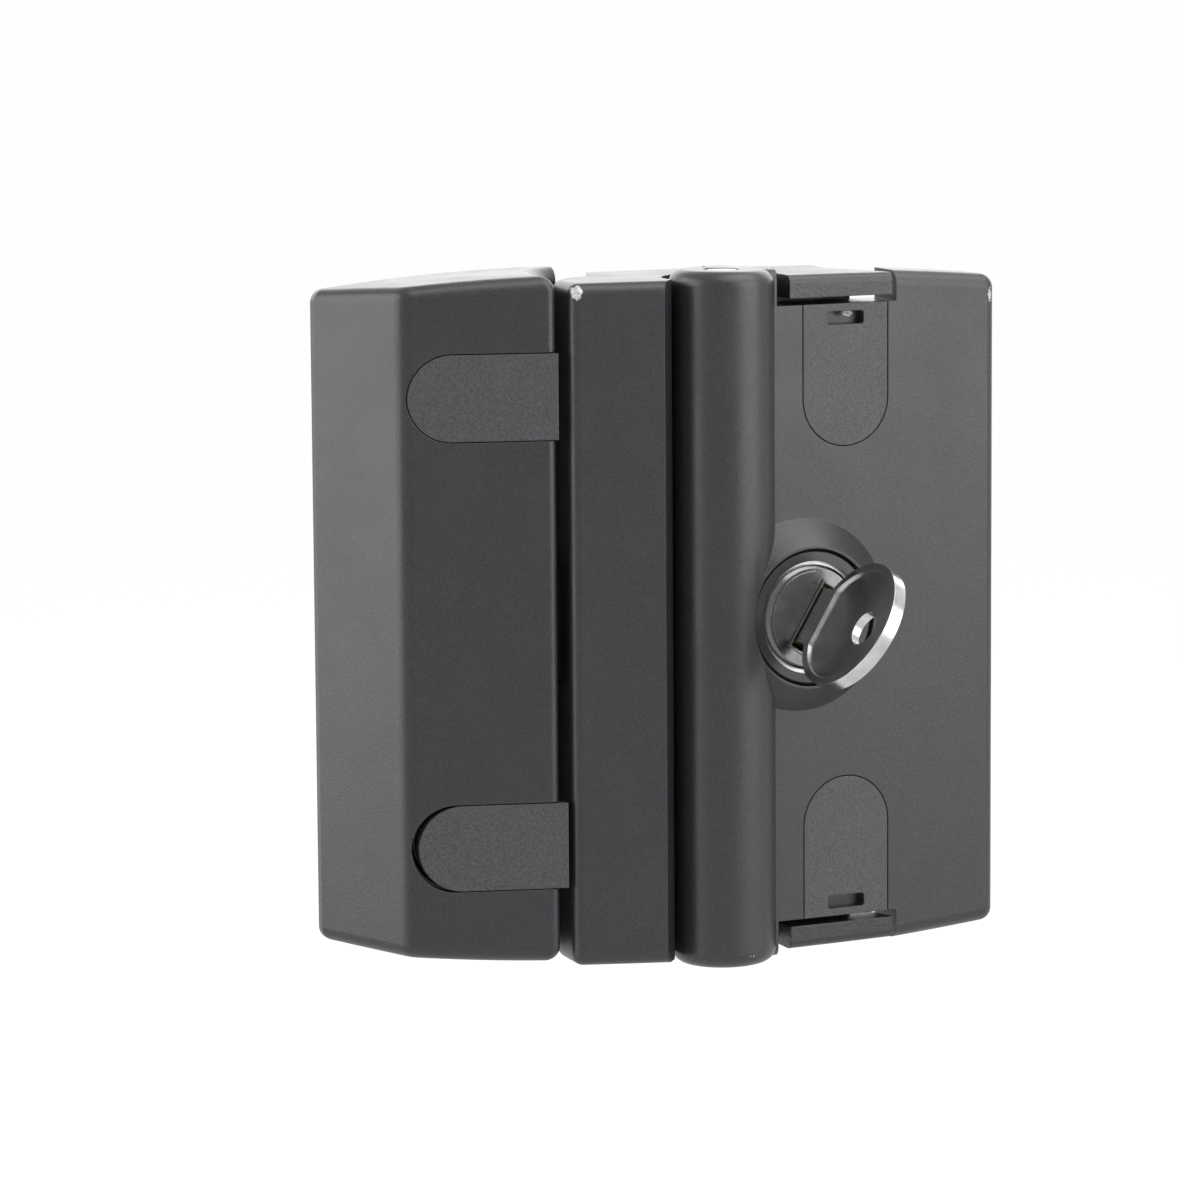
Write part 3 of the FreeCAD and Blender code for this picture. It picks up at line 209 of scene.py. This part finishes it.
def wear_and_highlight_spot(tree, place, centre, size, ragged=0.5):
    """Mask of a ragged spot, used for chips and for a painted highlight: centre and half sizes in mm of
    the lock's frame.
    """
    shifted = add_node(tree, "ShaderNodeVectorMath", {0: place, 1: centre}, "Vector",
                       operation="SUBTRACT")
    shaped = add_node(tree, "ShaderNodeVectorMath", {0: shifted, 1: [1 / s for s in size]}, "Vector",
                      operation="MULTIPLY")
    far = add_node(tree, "ShaderNodeVectorMath", {0: shaped}, "Value", operation="LENGTH")
    noise = add_node(tree, NOISE, {"Vector": place, "Scale": 1 / (min(size) * 0.8), "Detail": 3.0,
                                   "Roughness": NOISE_GAIN}, "Fac")
    rough = add_node(tree, RANGE, {"Value": noise, "From Min": 0.3, "From Max": 0.7,
                                   "To Min": -ragged, "To Max": ragged}, "Result")
    edge = add_node(tree, MATH, {0: far, 1: rough}, "Value", operation="ADD")
    return add_node(tree, RANGE, {"Value": edge, "From Min": 1.0, "From Max": 0.85}, "Result")


def specks(tree, place, spacing, radius, share):
    """Mask of dust specks: mean spacing and radius in mm, and the share of cells with one."""
    cells = add_node(tree, "ShaderNodeTexVoronoi", {"Vector": place, "Scale": 1 / spacing,
                                                    "Randomness": 1.0})
    near = add_node(tree, RANGE, {"Value": cells.outputs["Distance"], "From Min": radius / spacing,
                                  "From Max": radius / spacing * 0.6}, "Result")
    picked = add_node(tree, "ShaderNodeSeparateColor", {"Color": cells.outputs["Color"]}, "Red")
    chosen = add_node(tree, RANGE, {"Value": picked, "From Min": 1 - share,
                                    "From Max": 1 - share + 0.001}, "Result")
    return add_node(tree, MATH, {0: near, 1: chosen}, "Value", operation="MULTIPLY")


def powder_coat(name, colour, settings, chips_and_painted_highlights=(), rough=0.37, lumps_from=None):
    """Black polyester powder coat on a zinc casting, stoved: its flow leaves low ripples, which
    break its soft sheen into grain, and bare zinc shows where it is chipped. The same bare-zinc
    spots also paint a highlight: a bright band along the barrel's foot. Right of lumps_from,
    in mm, the ripples are coarser, as on the end tabs."""
    material, tree, output, place = start_material(name)
    grain = settings.grain / MM
    low = add_node(tree, NOISE, {"Vector": place, "Scale": 1 / (grain * 2.2), "Detail": 2.0,
                                 "Roughness": NOISE_GAIN}, "Fac")
    fine = add_node(tree, NOISE, {"Vector": place, "Scale": 1 / (grain * 0.55), "Detail": 3.0,
                                  "Roughness": NOISE_GAIN}, "Fac")
    soft_low = add_node(tree, MATH, {0: low, 1: 0.6}, "Value", operation="MULTIPLY")
    height = add_node(tree, MATH, {0: soft_low, 1: fine}, "Value", operation="ADD")
    if lumps_from is not None:
        across = add_node(tree, "ShaderNodeSeparateXYZ", {"Vector": place}, "X")
        here = add_node(tree, RANGE, {"Value": across, "From Min": lumps_from,
                                      "From Max": lumps_from + 0.5, "To Max": 5.0}, "Result")
        coarse = add_node(tree, NOISE, {"Vector": place, "Scale": 1 / 0.8, "Detail": 2.0,
                                        "Roughness": NOISE_GAIN}, "Fac")
        lumps = add_node(tree, MATH, {0: coarse, 1: here}, "Value", operation="MULTIPLY")
        height = add_node(tree, MATH, {0: height, 1: lumps}, "Value", operation="ADD")
    soft_edge = add_node(tree, "ShaderNodeBevel", {"Radius": 0.2 * MM}, "Normal", samples=4)
    bump = add_node(tree, "ShaderNodeBump", {"Height": height, "Distance": settings.peel,
                                             "Normal": soft_edge}, "Normal")
    cloud = add_node(tree, NOISE, {"Vector": place, "Scale": 1 / 9.0, "Detail": 2.0,
                                   "Roughness": NOISE_GAIN}, "Fac")
    sheen = add_node(tree, RANGE, {"Value": cloud, "From Min": 0.3, "From Max": 0.7,
                                   "To Min": rough - 0.03, "To Max": rough + 0.04}, "Result")
    grained = add_node(tree, RANGE, {
        "Vector": fine, "From Min": NOISE_LOW, "From Max": NOISE_HIGH,
        "To Min": [c * 0.6 for c in colour], "To Max": [c * 1.4 for c in colour]},
        "Vector", data_type="FLOAT_VECTOR")
    coat = add_node(tree, "ShaderNodeBsdfPrincipled", {
        "Base Color": grained, "IOR": 1.5, "Normal": bump, "Roughness": sheen}, "BSDF")
    dust_mask = specks(tree, place, 5.5, 0.16, 0.16)
    dust = add_node(tree, "ShaderNodeBsdfDiffuse", {"Color": srgb("#B9B9B9")}, "BSDF")
    surface = add_node(tree, "ShaderNodeMixShader", {"Fac": dust_mask, 1: coat, 2: dust}, "Shader")
    mask = None
    for centre, size in chips_and_painted_highlights:
        spot = wear_and_highlight_spot(tree, place, centre, size)
        mask = spot if mask is None else add_node(tree, MATH, {0: mask, 1: spot}, "Value",
                                                  operation="MAXIMUM")
    # Bare zinc where the coat is chipped, and a painted highlight where a spot stands in for light on an
    # edge.
    if mask is not None:
        zinc = srgb("#A9A9A7")[:3]
        pitted = add_node(tree, RANGE, {
            "Vector": fine, "From Min": NOISE_LOW, "From Max": NOISE_HIGH,
            "To Min": [c * 0.5 for c in zinc], "To Max": [c * 1.3 for c in zinc]},
            "Vector", data_type="FLOAT_VECTOR")
        bare_zinc_and_painted_highlight = add_node(tree, "ShaderNodeBsdfPrincipled", {
            "Base Color": pitted, "Metallic": 0.4, "Roughness": 0.5, "Normal": bump}, "BSDF")
        surface = add_node(tree, "ShaderNodeMixShader", {"Fac": mask, 1: surface, 2: bare_zinc_and_painted_highlight}, "Shader")
    tree.links.new(surface, output.inputs["Surface"])
    return material


def moulded_nylon(name, colour, grain, rough=0.5):
    """Glass-filled nylon, moulded in a spark-eroded tool: an even dull grain, a little greyer
    and rougher than the coat beside it."""
    material, tree, output, place = start_material(name)
    pits = add_node(tree, NOISE, {"Vector": place, "Scale": 1 / (grain / MM), "Detail": 2.0,
                                  "Roughness": NOISE_GAIN}, "Fac")
    cloud = add_node(tree, NOISE, {"Vector": place, "Scale": 1 / 6.0, "Detail": 2.0,
                                   "Roughness": NOISE_GAIN}, "Fac")
    soft_edge = add_node(tree, "ShaderNodeBevel", {"Radius": 0.25 * MM}, "Normal", samples=4)
    bump = add_node(tree, "ShaderNodeBump", {"Height": pits, "Distance": 0.025 * MM,
                                             "Normal": soft_edge}, "Normal")
    grained = add_node(tree, RANGE, {
        "Vector": pits, "From Min": NOISE_LOW, "From Max": NOISE_HIGH,
        "To Min": [c * 0.6 for c in colour], "To Max": [c * 1.45 for c in colour]},
        "Vector", data_type="FLOAT_VECTOR")
    sheen = add_node(tree, RANGE, {"Value": cloud, "From Min": 0.3, "From Max": 0.7,
                                   "To Min": rough - 0.03, "To Max": rough + 0.03}, "Result")
    body = add_node(tree, "ShaderNodeBsdfPrincipled", {
        "Base Color": grained, "IOR": 1.5, "Normal": bump, "Roughness": sheen}, "BSDF")
    tree.links.new(body, output.inputs["Surface"])
    return material


def black_enamel(name):
    """Stoved black enamel on a turned ring: darker and glossier than the powder coat."""
    material, tree, output, place = start_material(name)
    flow = add_node(tree, NOISE, {"Vector": place, "Scale": 1 / 1.2, "Detail": 2.0,
                                  "Roughness": NOISE_GAIN}, "Fac")
    soft_edge = add_node(tree, "ShaderNodeBevel", {"Radius": 0.12 * MM}, "Normal", samples=4)
    bump = add_node(tree, "ShaderNodeBump", {"Height": flow, "Distance": 0.004 * MM,
                                             "Normal": soft_edge}, "Normal")
    body = add_node(tree, "ShaderNodeBsdfPrincipled", {
        "Base Color": srgb("#17171A"), "IOR": 1.5, "Roughness": 0.28, "Normal": bump}, "BSDF")
    tree.links.new(body, output.inputs["Surface"])
    return material


def plated_metal(name, colour, rough, scratch, edge=0.1):
    """Plated metal, tumbled before plating: short fine scratches and edges worn round, which
    catch a bright line of light."""
    material, tree, output, place = start_material(name)
    turned = add_node(tree, "ShaderNodeMapping", {"Vector": place, "Rotation": (0.3, 0.5, 0.9),
                                                  "Scale": (1.0, 9.0, 2.5)}, "Vector")
    lines = add_node(tree, NOISE, {"Vector": turned, "Scale": 1 / scratch, "Detail": 3.0,
                                   "Roughness": NOISE_GAIN}, "Fac")
    stain = add_node(tree, NOISE, {"Vector": place, "Scale": 1 / 2.5, "Detail": 3.0,
                                   "Roughness": NOISE_GAIN}, "Fac")
    soft_edge = add_node(tree, "ShaderNodeBevel", {"Radius": edge * MM}, "Normal", samples=4)
    bump = add_node(tree, "ShaderNodeBump", {"Height": lines, "Distance": 0.003 * MM,
                                             "Normal": soft_edge}, "Normal")
    stained = add_node(tree, RANGE, {
        "Vector": stain, "From Min": NOISE_LOW, "From Max": NOISE_HIGH,
        "To Min": [c * 0.8 for c in colour], "To Max": list(colour)},
        "Vector", data_type="FLOAT_VECTOR")
    sheen = add_node(tree, RANGE, {"Value": lines, "From Min": 0.3, "From Max": 0.7,
                                   "To Min": rough - 0.05, "To Max": rough + 0.07}, "Result")
    body = add_node(tree, "ShaderNodeBsdfPrincipled", {
        "Base Color": stained, "Metallic": 1.0, "Normal": bump, "Roughness": sheen}, "BSDF")
    tree.links.new(body, output.inputs["Surface"])
    return material


def rolled_thread_steel(name, colour, pitch):
    """Zinc-plated screw: turned head, and a rolled thread of the pitch in mm behind the
    mounting plane."""
    material, tree, output, place = start_material(name)
    thread = add_node(tree, "ShaderNodeTexWave", {"Vector": place, "Scale": math.pi / 10 / pitch},
                      "Fac", bands_direction="Y")
    behind = add_node(tree, "ShaderNodeSeparateXYZ", {"Vector": place}, "Y")
    threaded = add_node(tree, RANGE, {"Value": behind, "From Min": 0.5, "From Max": 0.7}, "Result")
    cut = add_node(tree, MATH, {0: thread, 1: threaded}, "Value", operation="MULTIPLY")
    marks = add_node(tree, NOISE, {"Vector": place, "Scale": 1 / 0.4, "Detail": 3.0,
                                   "Roughness": NOISE_GAIN}, "Fac")
    scratches = add_node(tree, MATH, {0: marks, 1: 0.06}, "Value", operation="MULTIPLY")
    height = add_node(tree, MATH, {0: cut, 1: scratches}, "Value", operation="ADD")
    soft_edge = add_node(tree, "ShaderNodeBevel", {"Radius": 0.15 * MM}, "Normal", samples=4)
    bump = add_node(tree, "ShaderNodeBump", {"Height": height, "Distance": 0.35 * MM,
                                             "Normal": soft_edge}, "Normal")
    stain = add_node(tree, NOISE, {"Vector": place, "Scale": 1 / 1.5, "Detail": 2.0,
                                   "Roughness": NOISE_GAIN}, "Fac")
    stained = add_node(tree, RANGE, {
        "Vector": stain, "From Min": NOISE_LOW, "From Max": NOISE_HIGH,
        "To Min": [c * 0.75 for c in colour], "To Max": list(colour)},
        "Vector", data_type="FLOAT_VECTOR")
    body = add_node(tree, "ShaderNodeBsdfPrincipled", {
        "Base Color": stained, "Metallic": 1.0, "Roughness": 0.38, "Normal": bump}, "BSDF")
    tree.links.new(body, output.inputs["Surface"])
    return material


def place_piece(context, name, data, material, body):
    """Puts a new piece into the scene on its body."""
    piece = bpy.data.objects.new(name, data)
    context.scene.collection.objects.link(piece)
    data.materials.append(material)
    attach(piece, body)
    return piece


def plate_mesh(name, outline, thickness, to_place, bevel):
    """Flat plate over an outline of (u, v) points in mm with its upper rim broken."""
    form = bmesh.new()
    base = [form.verts.new(to_place(u, v, 0.0)) for u, v in outline]
    face = form.faces.new(base)
    raised = bmesh.ops.extrude_face_region(form, geom=[face])["geom"]
    top = [item for item in raised if isinstance(item, bmesh.types.BMVert)]
    lift = to_place(0, 0, thickness) - to_place(0, 0, 0.0)
    bmesh.ops.translate(form, verts=top, vec=lift)
    rim = [edge for edge in form.edges if all(v in top for v in edge.verts)]
    bmesh.ops.bevel(form, geom=rim, offset=bevel * MM, segments=2, profile=0.5, affect="EDGES")
    bmesh.ops.recalc_face_normals(form, faces=form.faces)
    mesh = bpy.data.meshes.new(name)
    form.to_mesh(mesh)
    form.free()
    return mesh


def dress(material, *nodes):
    """Gives the CAD nodes their material."""
    for node in nodes:
        for slot in NODES[node].material_slots:
            slot.material = material


# Finishes of the lock's pieces

class LOCK_OT_castings(bpy.types.Operator):
    """Coats keeper, lock base and grip flap"""
    bl_idname = "lock.coat_castings"
    bl_label = "Coat the castings"

    def execute(self, context):
        coat = context.scene.lock_coat
        strip_corner = (BASE_LOW.x / MM + 0.9, -20.2, 46.6)
        # Painted highlight: a thin bright band of bare zinc along the barrel's foot stands in for the
        # light caught by its lower rounded edge.
        barrel_foot_painted_highlight = (-0.6, -23.6, -47.2)
        flap_corner = (FLAP_HIGH.x / MM - 1.0, -16.0, 44.0)
        # The coat colours carry painted light: the keeper's coat is painted darker (shade) and the flap's
        # lighter (light).
        dress(powder_coat("powder_coated_keeper_zinc_shaded", coat.keeper, coat), "keeper_housing")
        dress(powder_coat("powder_coated_base_zinc", coat.base, coat,
                          [(strip_corner, (0.8, 1.2, 1.1))], lumps_from=7.0), "lock_base")
        dress(powder_coat("powder_coated_flap_zinc_lit", coat.flap, coat,
                          [(flap_corner, (0.35, 0.9, 0.9)), (barrel_foot_painted_highlight, (1.6, 1.0, 0.35))]),
              "grip_flap")
        return {"FINISHED"}


class LOCK_OT_caps(bpy.types.Operator):
    """Moulds the slip-in caps"""
    bl_idname = "lock.mould_caps"
    bl_label = "Mould the caps"

    def execute(self, context):
        caps = context.scene.lock_caps
        dress(moulded_nylon("moulded_nylon_keeper_cap", caps.keeper, caps.grain),
              "keeper_cap_upper", "keeper_cap_lower")
        dress(moulded_nylon("moulded_nylon_flap_cap", caps.flap, caps.grain),
              "flap_cap_upper", "flap_cap_lower")
        return {"FINISHED"}


class LOCK_OT_steelwork(bpy.types.Operator):
    """Plates the steel pieces and the latch"""
    bl_idname = "lock.plate_steelwork"
    bl_label = "Plate the steelwork"

    def execute(self, context):
        metal = context.scene.lock_metal
        plated = plated_metal("zinc_plated_steel", metal.zinc, 0.36, 0.5)
        dress(plated, "mounting_plate", "hinge_pin", "release_lever_upper",
              "release_lever_lower", "cylinder_clip", "cam_tongue")
        screws = rolled_thread_steel("zinc_plated_rolled_thread", metal.zinc, 1.0)
        dress(screws, "keeper_screw_upper", "keeper_screw_lower", "strike_screws",
              "mounting_screw_upper", "mounting_screw_lower", "base_screw_upper",
              "base_screw_lower", "pin_set_screws", "cam_screw")
        # Painted shade: near-black latch and strike plate for the shaded gap they sit in.
        dress(plated_metal("zinc_casting_painted_shade", metal.latch, 0.5, 0.9), "latch_bolt", "strike_plate")
        return {"FINISHED"}


class LOCK_OT_cylinder(bpy.types.Operator):
    """Finishes the key cylinder and the key"""
    bl_idname = "lock.finish_cylinder"
    bl_label = "Finish the cylinder"

    def execute(self, context):
        metal = context.scene.lock_metal
        dress(black_enamel("stoved_black_enamel"), "cylinder_collar")
        # Painted highlight: the ring's nickel is coloured near white, brighter than the key's, standing
        # in for the bright light it catches.
        dress(plated_metal("nickel_ring_painted_highlight", srgb("#F2F2F0")[:3], 0.5, 0.25), "cylinder_body")
        # Painted shade: darkened nickel on the plug face, standing in for its dark reflections.
        plug = plated_metal("nickel_plug_painted_shade", metal.plug, 0.22, 0.35)
        dress(plug, "cylinder_plug")
        self.face_plug(context, plug)
        dress(plated_metal("nickel_plated_key", metal.nickel, 0.2, 0.3, 0.18), "key")
        dress(plated_metal("stamped_brass", metal.brass, 0.3, 0.3), "plug_wafers")
        return {"FINISHED"}

    def face_plug(self, context, material):
        """Raised fields each side of the keyway and the rim round its mouth."""
        radius, chord = 6.6, 3.1
        half = math.acos(chord / radius)
        for name, side in (("plug_field_left", -1), ("plug_field_right", 1)):
            angles = [half * (i / 12 - 1) for i in range(25)]
            outline = [(side * radius * math.cos(a), radius * math.sin(a)) for a in angles]
            mesh = plate_mesh(name, outline, 0.14, self.on_plug, 0.06)
            place_piece(context, name, mesh, material, "plug")
        wide, tall, rim = 1.15, 5.05, 0.32
        bars = (("keyway_rim_left", -wide - rim, -wide, -tall - rim, tall + rim),
                ("keyway_rim_right", wide, wide + rim, -tall - rim, tall + rim),
                ("keyway_rim_top", -wide, wide, tall, tall + rim),
                ("keyway_rim_bottom", -wide, wide, -tall - rim, -tall))
        for name, left, right, low, high in bars:
            outline = [(left, low), (right, low), (right, high), (left, high)]
            mesh = plate_mesh(name, outline, 0.28, self.on_plug, 0.09)
            place_piece(context, name, mesh, material, "plug")

    @staticmethod
    def on_plug(across, along, lift):
        """Point on the plug's face, in mm across and along the keyway."""
        sideways = FACE_ACROSS * math.cos(KEY_TURN) - UP * math.sin(KEY_TURN)
        lengthways = UP * math.cos(KEY_TURN) + FACE_ACROSS * math.sin(KEY_TURN)
        raised = FACE_NORMAL * (PLUG_FACE_RISE + lift)
        return CYLINDER_SEAT + (sideways * across + lengthways * along + raised) * MM


class LOCK_OT_debris(bpy.types.Operator):
    """Leaves the torn nylon where a driver levered the upper cap"""
    bl_idname = "lock.tear_slot"
    bl_label = "Tear the pry slot"

    def execute(self, context):
        torn = moulded_nylon("torn_nylon", srgb("#8C8C8C")[:3], 0.2 * MM, 0.4)
        slot_low, slot_high = (Vector(corner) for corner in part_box("flap_cap_upper"))
        centre = Vector(((slot_low.x + slot_high.x) / 2 + 0.3 * MM, slot_low.y + 1.15 * MM,
                         slot_high.z - 1.35 * MM))
        for number, (start, spread) in enumerate(((0.0, 1.3), (2.1, 0.8))):
            name = f"torn_curl_{number + 1}"
            curl = bpy.data.curves.new(name, "CURVE")
            curl.dimensions = "3D"
            curl.bevel_depth = 0.07 * MM
            curl.bevel_resolution = 1
            curl.use_fill_caps = True
            spline = curl.splines.new("NURBS")
            spline.points.add(17)
            for i, point in enumerate(spline.points):
                angle = start + 1.9 * i
                away = spread * (0.35 + 0.65 * abs(math.sin(1.3 * i + start)))
                offset = Vector((away * math.cos(angle), 0.25 * math.sin(2.7 * i) - 0.1,
                                 0.55 * away * math.sin(angle)))
                point.co = (*(centre + offset * MM), 1)
            spline.order_u = 3
            spline.use_endpoint_u = True
            place_piece(context, name, curl, torn, "flap")
        return {"FINISHED"}


class LOCK_OT_springs(bpy.types.Operator):
    """Winds the two springs behind the latch"""
    bl_idname = "lock.wind_springs"
    bl_label = "Wind the springs"

    def execute(self, context):
        springs = context.scene.lock_springs
        low, high = (Vector(corner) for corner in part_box("latch_springs"))
        radius = (high.y - low.y - springs.wire) / 2
        material = plated_metal("drawn_spring_wire", context.scene.lock_metal.zinc, 0.35, 0.2)
        steps = 24
        for name, side in (("latch_spring_upper", 1), ("latch_spring_lower", -1)):
            centre_z = side * (high.z - springs.wire / 2 - radius)
            curve = bpy.data.curves.new(name, "CURVE")
            curve.dimensions = "3D"
            curve.bevel_depth = springs.wire / 2
            curve.bevel_resolution = 3
            curve.use_fill_caps = True
            spline = curve.splines.new("POLY")
            count = springs.turns * steps + 1
            spline.points.add(count - 1)
            length = high.x - low.x - springs.wire
            for i in range(count):
                angle = 2 * math.pi * i / steps
                share = i / (count - 1)
                x = low.x + springs.wire / 2 + length * share
                spline.points[i].co = (x, (low.y + high.y) / 2 + radius * math.cos(angle),
                                       centre_z + radius * math.sin(angle), 1)
            wound = bpy.data.objects.new(name, curve)
            mesh = bpy.data.meshes.new_from_object(wound)
            bpy.data.objects.remove(wound)
            bpy.data.curves.remove(curve)
            piece = place_piece(context, name, mesh, material, "latch")
            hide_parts("latch_springs")
            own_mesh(piece)
        return {"FINISHED"}


class LOCK_OT_stage(bpy.types.Operator):
    """Sets up floor, surroundings, lamps and camera"""
    bl_idname = "lock.set_stage"
    bl_label = "Set the stage"

    def execute(self, context):
        studio = context.scene.lock_studio
        self.lay_floor(context, studio)
        self.light_surround(context, studio)
        lamps = (("softbox_right", 40, 14, 0.7, (44, 42), studio.right_box),
                 ("softbox_left", -104, -2, 0.75, (64, 90), studio.left_box),
                 ("softbox_top", 45, 62, 0.8, (60, 44), studio.top_box),
                 ("softbox_back", 160, 20, 0.95, (80, 34), studio.back_box))
        for name, azimuth, elevation, distance, spread, radiance in lamps:
            self.hang_lamp(context, name, azimuth, elevation, distance, spread, radiance)
        self.place_camera(context)
        context.scene.view_settings.view_transform = "Standard"
        return {"FINISHED"}

    def lay_floor(self, context, studio):
        half = 40.0
        height = CAD_BOX[0][2] - studio.floor_drop
        mesh = bpy.data.meshes.new("studio_floor")
        mesh.from_pydata([(-half, -half, height), (half, -half, height), (half, half, height),
                          (-half, half, height)], [], [(0, 1, 2, 3)])
        floor = bpy.data.objects.new("studio_floor", mesh)
        context.scene.collection.objects.link(floor)
        material = bpy.data.materials.new("matt_white_paper")
        material.use_nodes = True
        tree = material.node_tree
        tree.nodes.clear()
        output = add_node(tree, "ShaderNodeOutputMaterial")
        path = add_node(tree, "ShaderNodeLightPath")
        direct = add_node(tree, MATH, {0: path.outputs["Is Camera Ray"],
                                       1: path.outputs["Is Transmission Ray"]}, "Value",
                          operation="MAXIMUM")
        seen = add_node(tree, MATH, {0: direct, 1: path.outputs["Is Glossy Ray"]}, "Value",
                        operation="MAXIMUM")
        place = add_node(tree, "ShaderNodeTexCoord", wanted="Object")
        depth = add_node(tree, "ShaderNodeSeparateXYZ", {"Vector": place}, "Y")
        pool = add_node(tree, RANGE, {"Value": depth, "From Min": -0.9, "From Max": 0.1,
                                      "To Min": studio.front, "To Max": 1.0}, "Result")
        strength = add_node(tree, MATH, {0: pool, 1: direct}, "Value", operation="MAXIMUM")
        paper = add_node(tree, "ShaderNodeBsdfDiffuse", {"Color": (*studio.backdrop[:], 1.0)}, "BSDF")
        glow = add_node(tree, "ShaderNodeEmission", {"Color": (*studio.backdrop[:], 1.0),
                                                     "Strength": strength}, "Emission")
        share = add_node(tree, MATH, {0: seen, 1: 0.92}, "Value", operation="MULTIPLY")
        mixed = add_node(tree, "ShaderNodeMixShader", {"Fac": share, 1: paper, 2: glow}, "Shader")
        tree.links.new(mixed, output.inputs["Surface"])
        mesh.materials.append(material)

    def light_surround(self, context, studio):
        world = bpy.data.worlds.new("studio_surround")
        world.use_nodes = True
        tree = world.node_tree
        tree.nodes.clear()
        output = add_node(tree, "ShaderNodeOutputWorld")
        path = add_node(tree, "ShaderNodeLightPath")
        direct = add_node(tree, MATH, {0: path.outputs["Is Camera Ray"],
                                       1: path.outputs["Is Transmission Ray"]}, "Value",
                          operation="MAXIMUM")
        towards = add_node(tree, "ShaderNodeTexCoord", wanted="Generated")
        depth = add_node(tree, "ShaderNodeSeparateXYZ", {"Vector": towards}, "Y")
        room = add_node(tree, RANGE, {"Value": depth, "From Min": -0.5, "From Max": 0.3,
                                      "To Min": studio.front, "To Max": 1.0}, "Result")
        strength = add_node(tree, MATH, {0: room, 1: direct}, "Value", operation="MAXIMUM")
        light = add_node(tree, "ShaderNodeBackground", {"Color": (*studio.backdrop[:], 1.0),
                                                        "Strength": strength}, "Background")
        tree.links.new(light, output.inputs["Surface"])
        context.scene.world = world

    def hang_lamp(self, context, name, azimuth, elevation, distance, spread, radiance):
        """Soft box that spans spread degrees across and upwards, seen from the lock."""
        lamp = bpy.data.lights.new(name, "AREA")
        lamp.shape = "RECTANGLE"
        lamp.size, lamp.size_y = (2 * distance * math.tan(math.radians(angle / 2)) for angle in spread)
        lamp.energy = radiance * math.pi * lamp.size * lamp.size_y
        turn, rise = math.radians(azimuth), math.radians(elevation)
        away = Vector((math.sin(turn) * math.cos(rise), -math.cos(turn) * math.cos(rise), math.sin(rise)))
        holder = bpy.data.objects.new(name, lamp)
        holder.location = away * distance
        holder.rotation_euler = away.to_track_quat("Z", "Y").to_euler()
        holder.visible_camera = False
        context.scene.collection.objects.link(holder)

    def place_camera(self, context):
        view = context.scene.lock_camera
        camera = bpy.data.cameras.new("camera")
        camera.lens = view.lens
        camera.sensor_width = 36.0
        camera.clip_start = 0.05
        camera.clip_end = 20.0
        away = Vector((math.sin(view.azimuth) * math.cos(view.elevation),
                       -math.cos(view.azimuth) * math.cos(view.elevation), math.sin(view.elevation)))
        across = Vector((0, 0, 1)).cross(away).normalized()
        upward = away.cross(across)
        turned = across * math.cos(view.roll) + upward * math.sin(view.roll)
        raised = upward * math.cos(view.roll) - across * math.sin(view.roll)
        axes = Matrix((turned, raised, away)).transposed()
        holder = bpy.data.objects.new("camera", camera)
        holder.matrix_world = Matrix.Translation(Vector(view.aim) + away * view.distance) @ axes.to_4x4()
        context.scene.collection.objects.link(holder)
        context.scene.camera = holder


class LOCK_PT_panel(bpy.types.Panel):
    """Lists the lock's steps"""
    bl_idname = "LOCK_PT_panel"
    bl_label = "Surface-mounted lock"
    bl_space_type = "VIEW_3D"
    bl_region_type = "UI"
    bl_category = "Lock"

    def draw(self, context):
        for settings in ("lock_camera", "lock_studio", "lock_coat", "lock_caps", "lock_metal",
                         "lock_springs"):
            box = self.layout.box()
            group = getattr(context.scene, settings)
            for name in group.bl_rna.properties.keys():
                if name not in ("rna_type", "name"):
                    box.prop(group, name)
        for operator in OPERATORS:
            self.layout.operator(operator.bl_idname)


GROUPS = {"lock_camera": LockCamera, "lock_studio": LockStudio, "lock_coat": LockCoat,
          "lock_caps": LockCaps, "lock_metal": LockMetal, "lock_springs": LockSprings}
OPERATORS = (LOCK_OT_stage, LOCK_OT_castings, LOCK_OT_caps, LOCK_OT_steelwork, LOCK_OT_cylinder,
             LOCK_OT_debris, LOCK_OT_springs)


def register():
    for group in GROUPS.values():
        bpy.utils.register_class(group)
    for operator in OPERATORS:
        bpy.utils.register_class(operator)
    bpy.utils.register_class(LOCK_PT_panel)
    for name, group in GROUPS.items():
        setattr(bpy.types.Scene, name, PointerProperty(type=group))


def unregister():
    for name in GROUPS:
        delattr(bpy.types.Scene, name)
    bpy.utils.unregister_class(LOCK_PT_panel)
    for operator in reversed(OPERATORS):
        bpy.utils.unregister_class(operator)
    for group in reversed(GROUPS.values()):
        bpy.utils.unregister_class(group)


def main():
    register()
    bpy.ops.lock.set_stage()
    bpy.ops.lock.coat_castings()
    bpy.ops.lock.mould_caps()
    bpy.ops.lock.plate_steelwork()
    bpy.ops.lock.finish_cylinder()
    bpy.ops.lock.tear_slot()
    bpy.ops.lock.wind_springs()


if __name__ == "__main__":
    main()
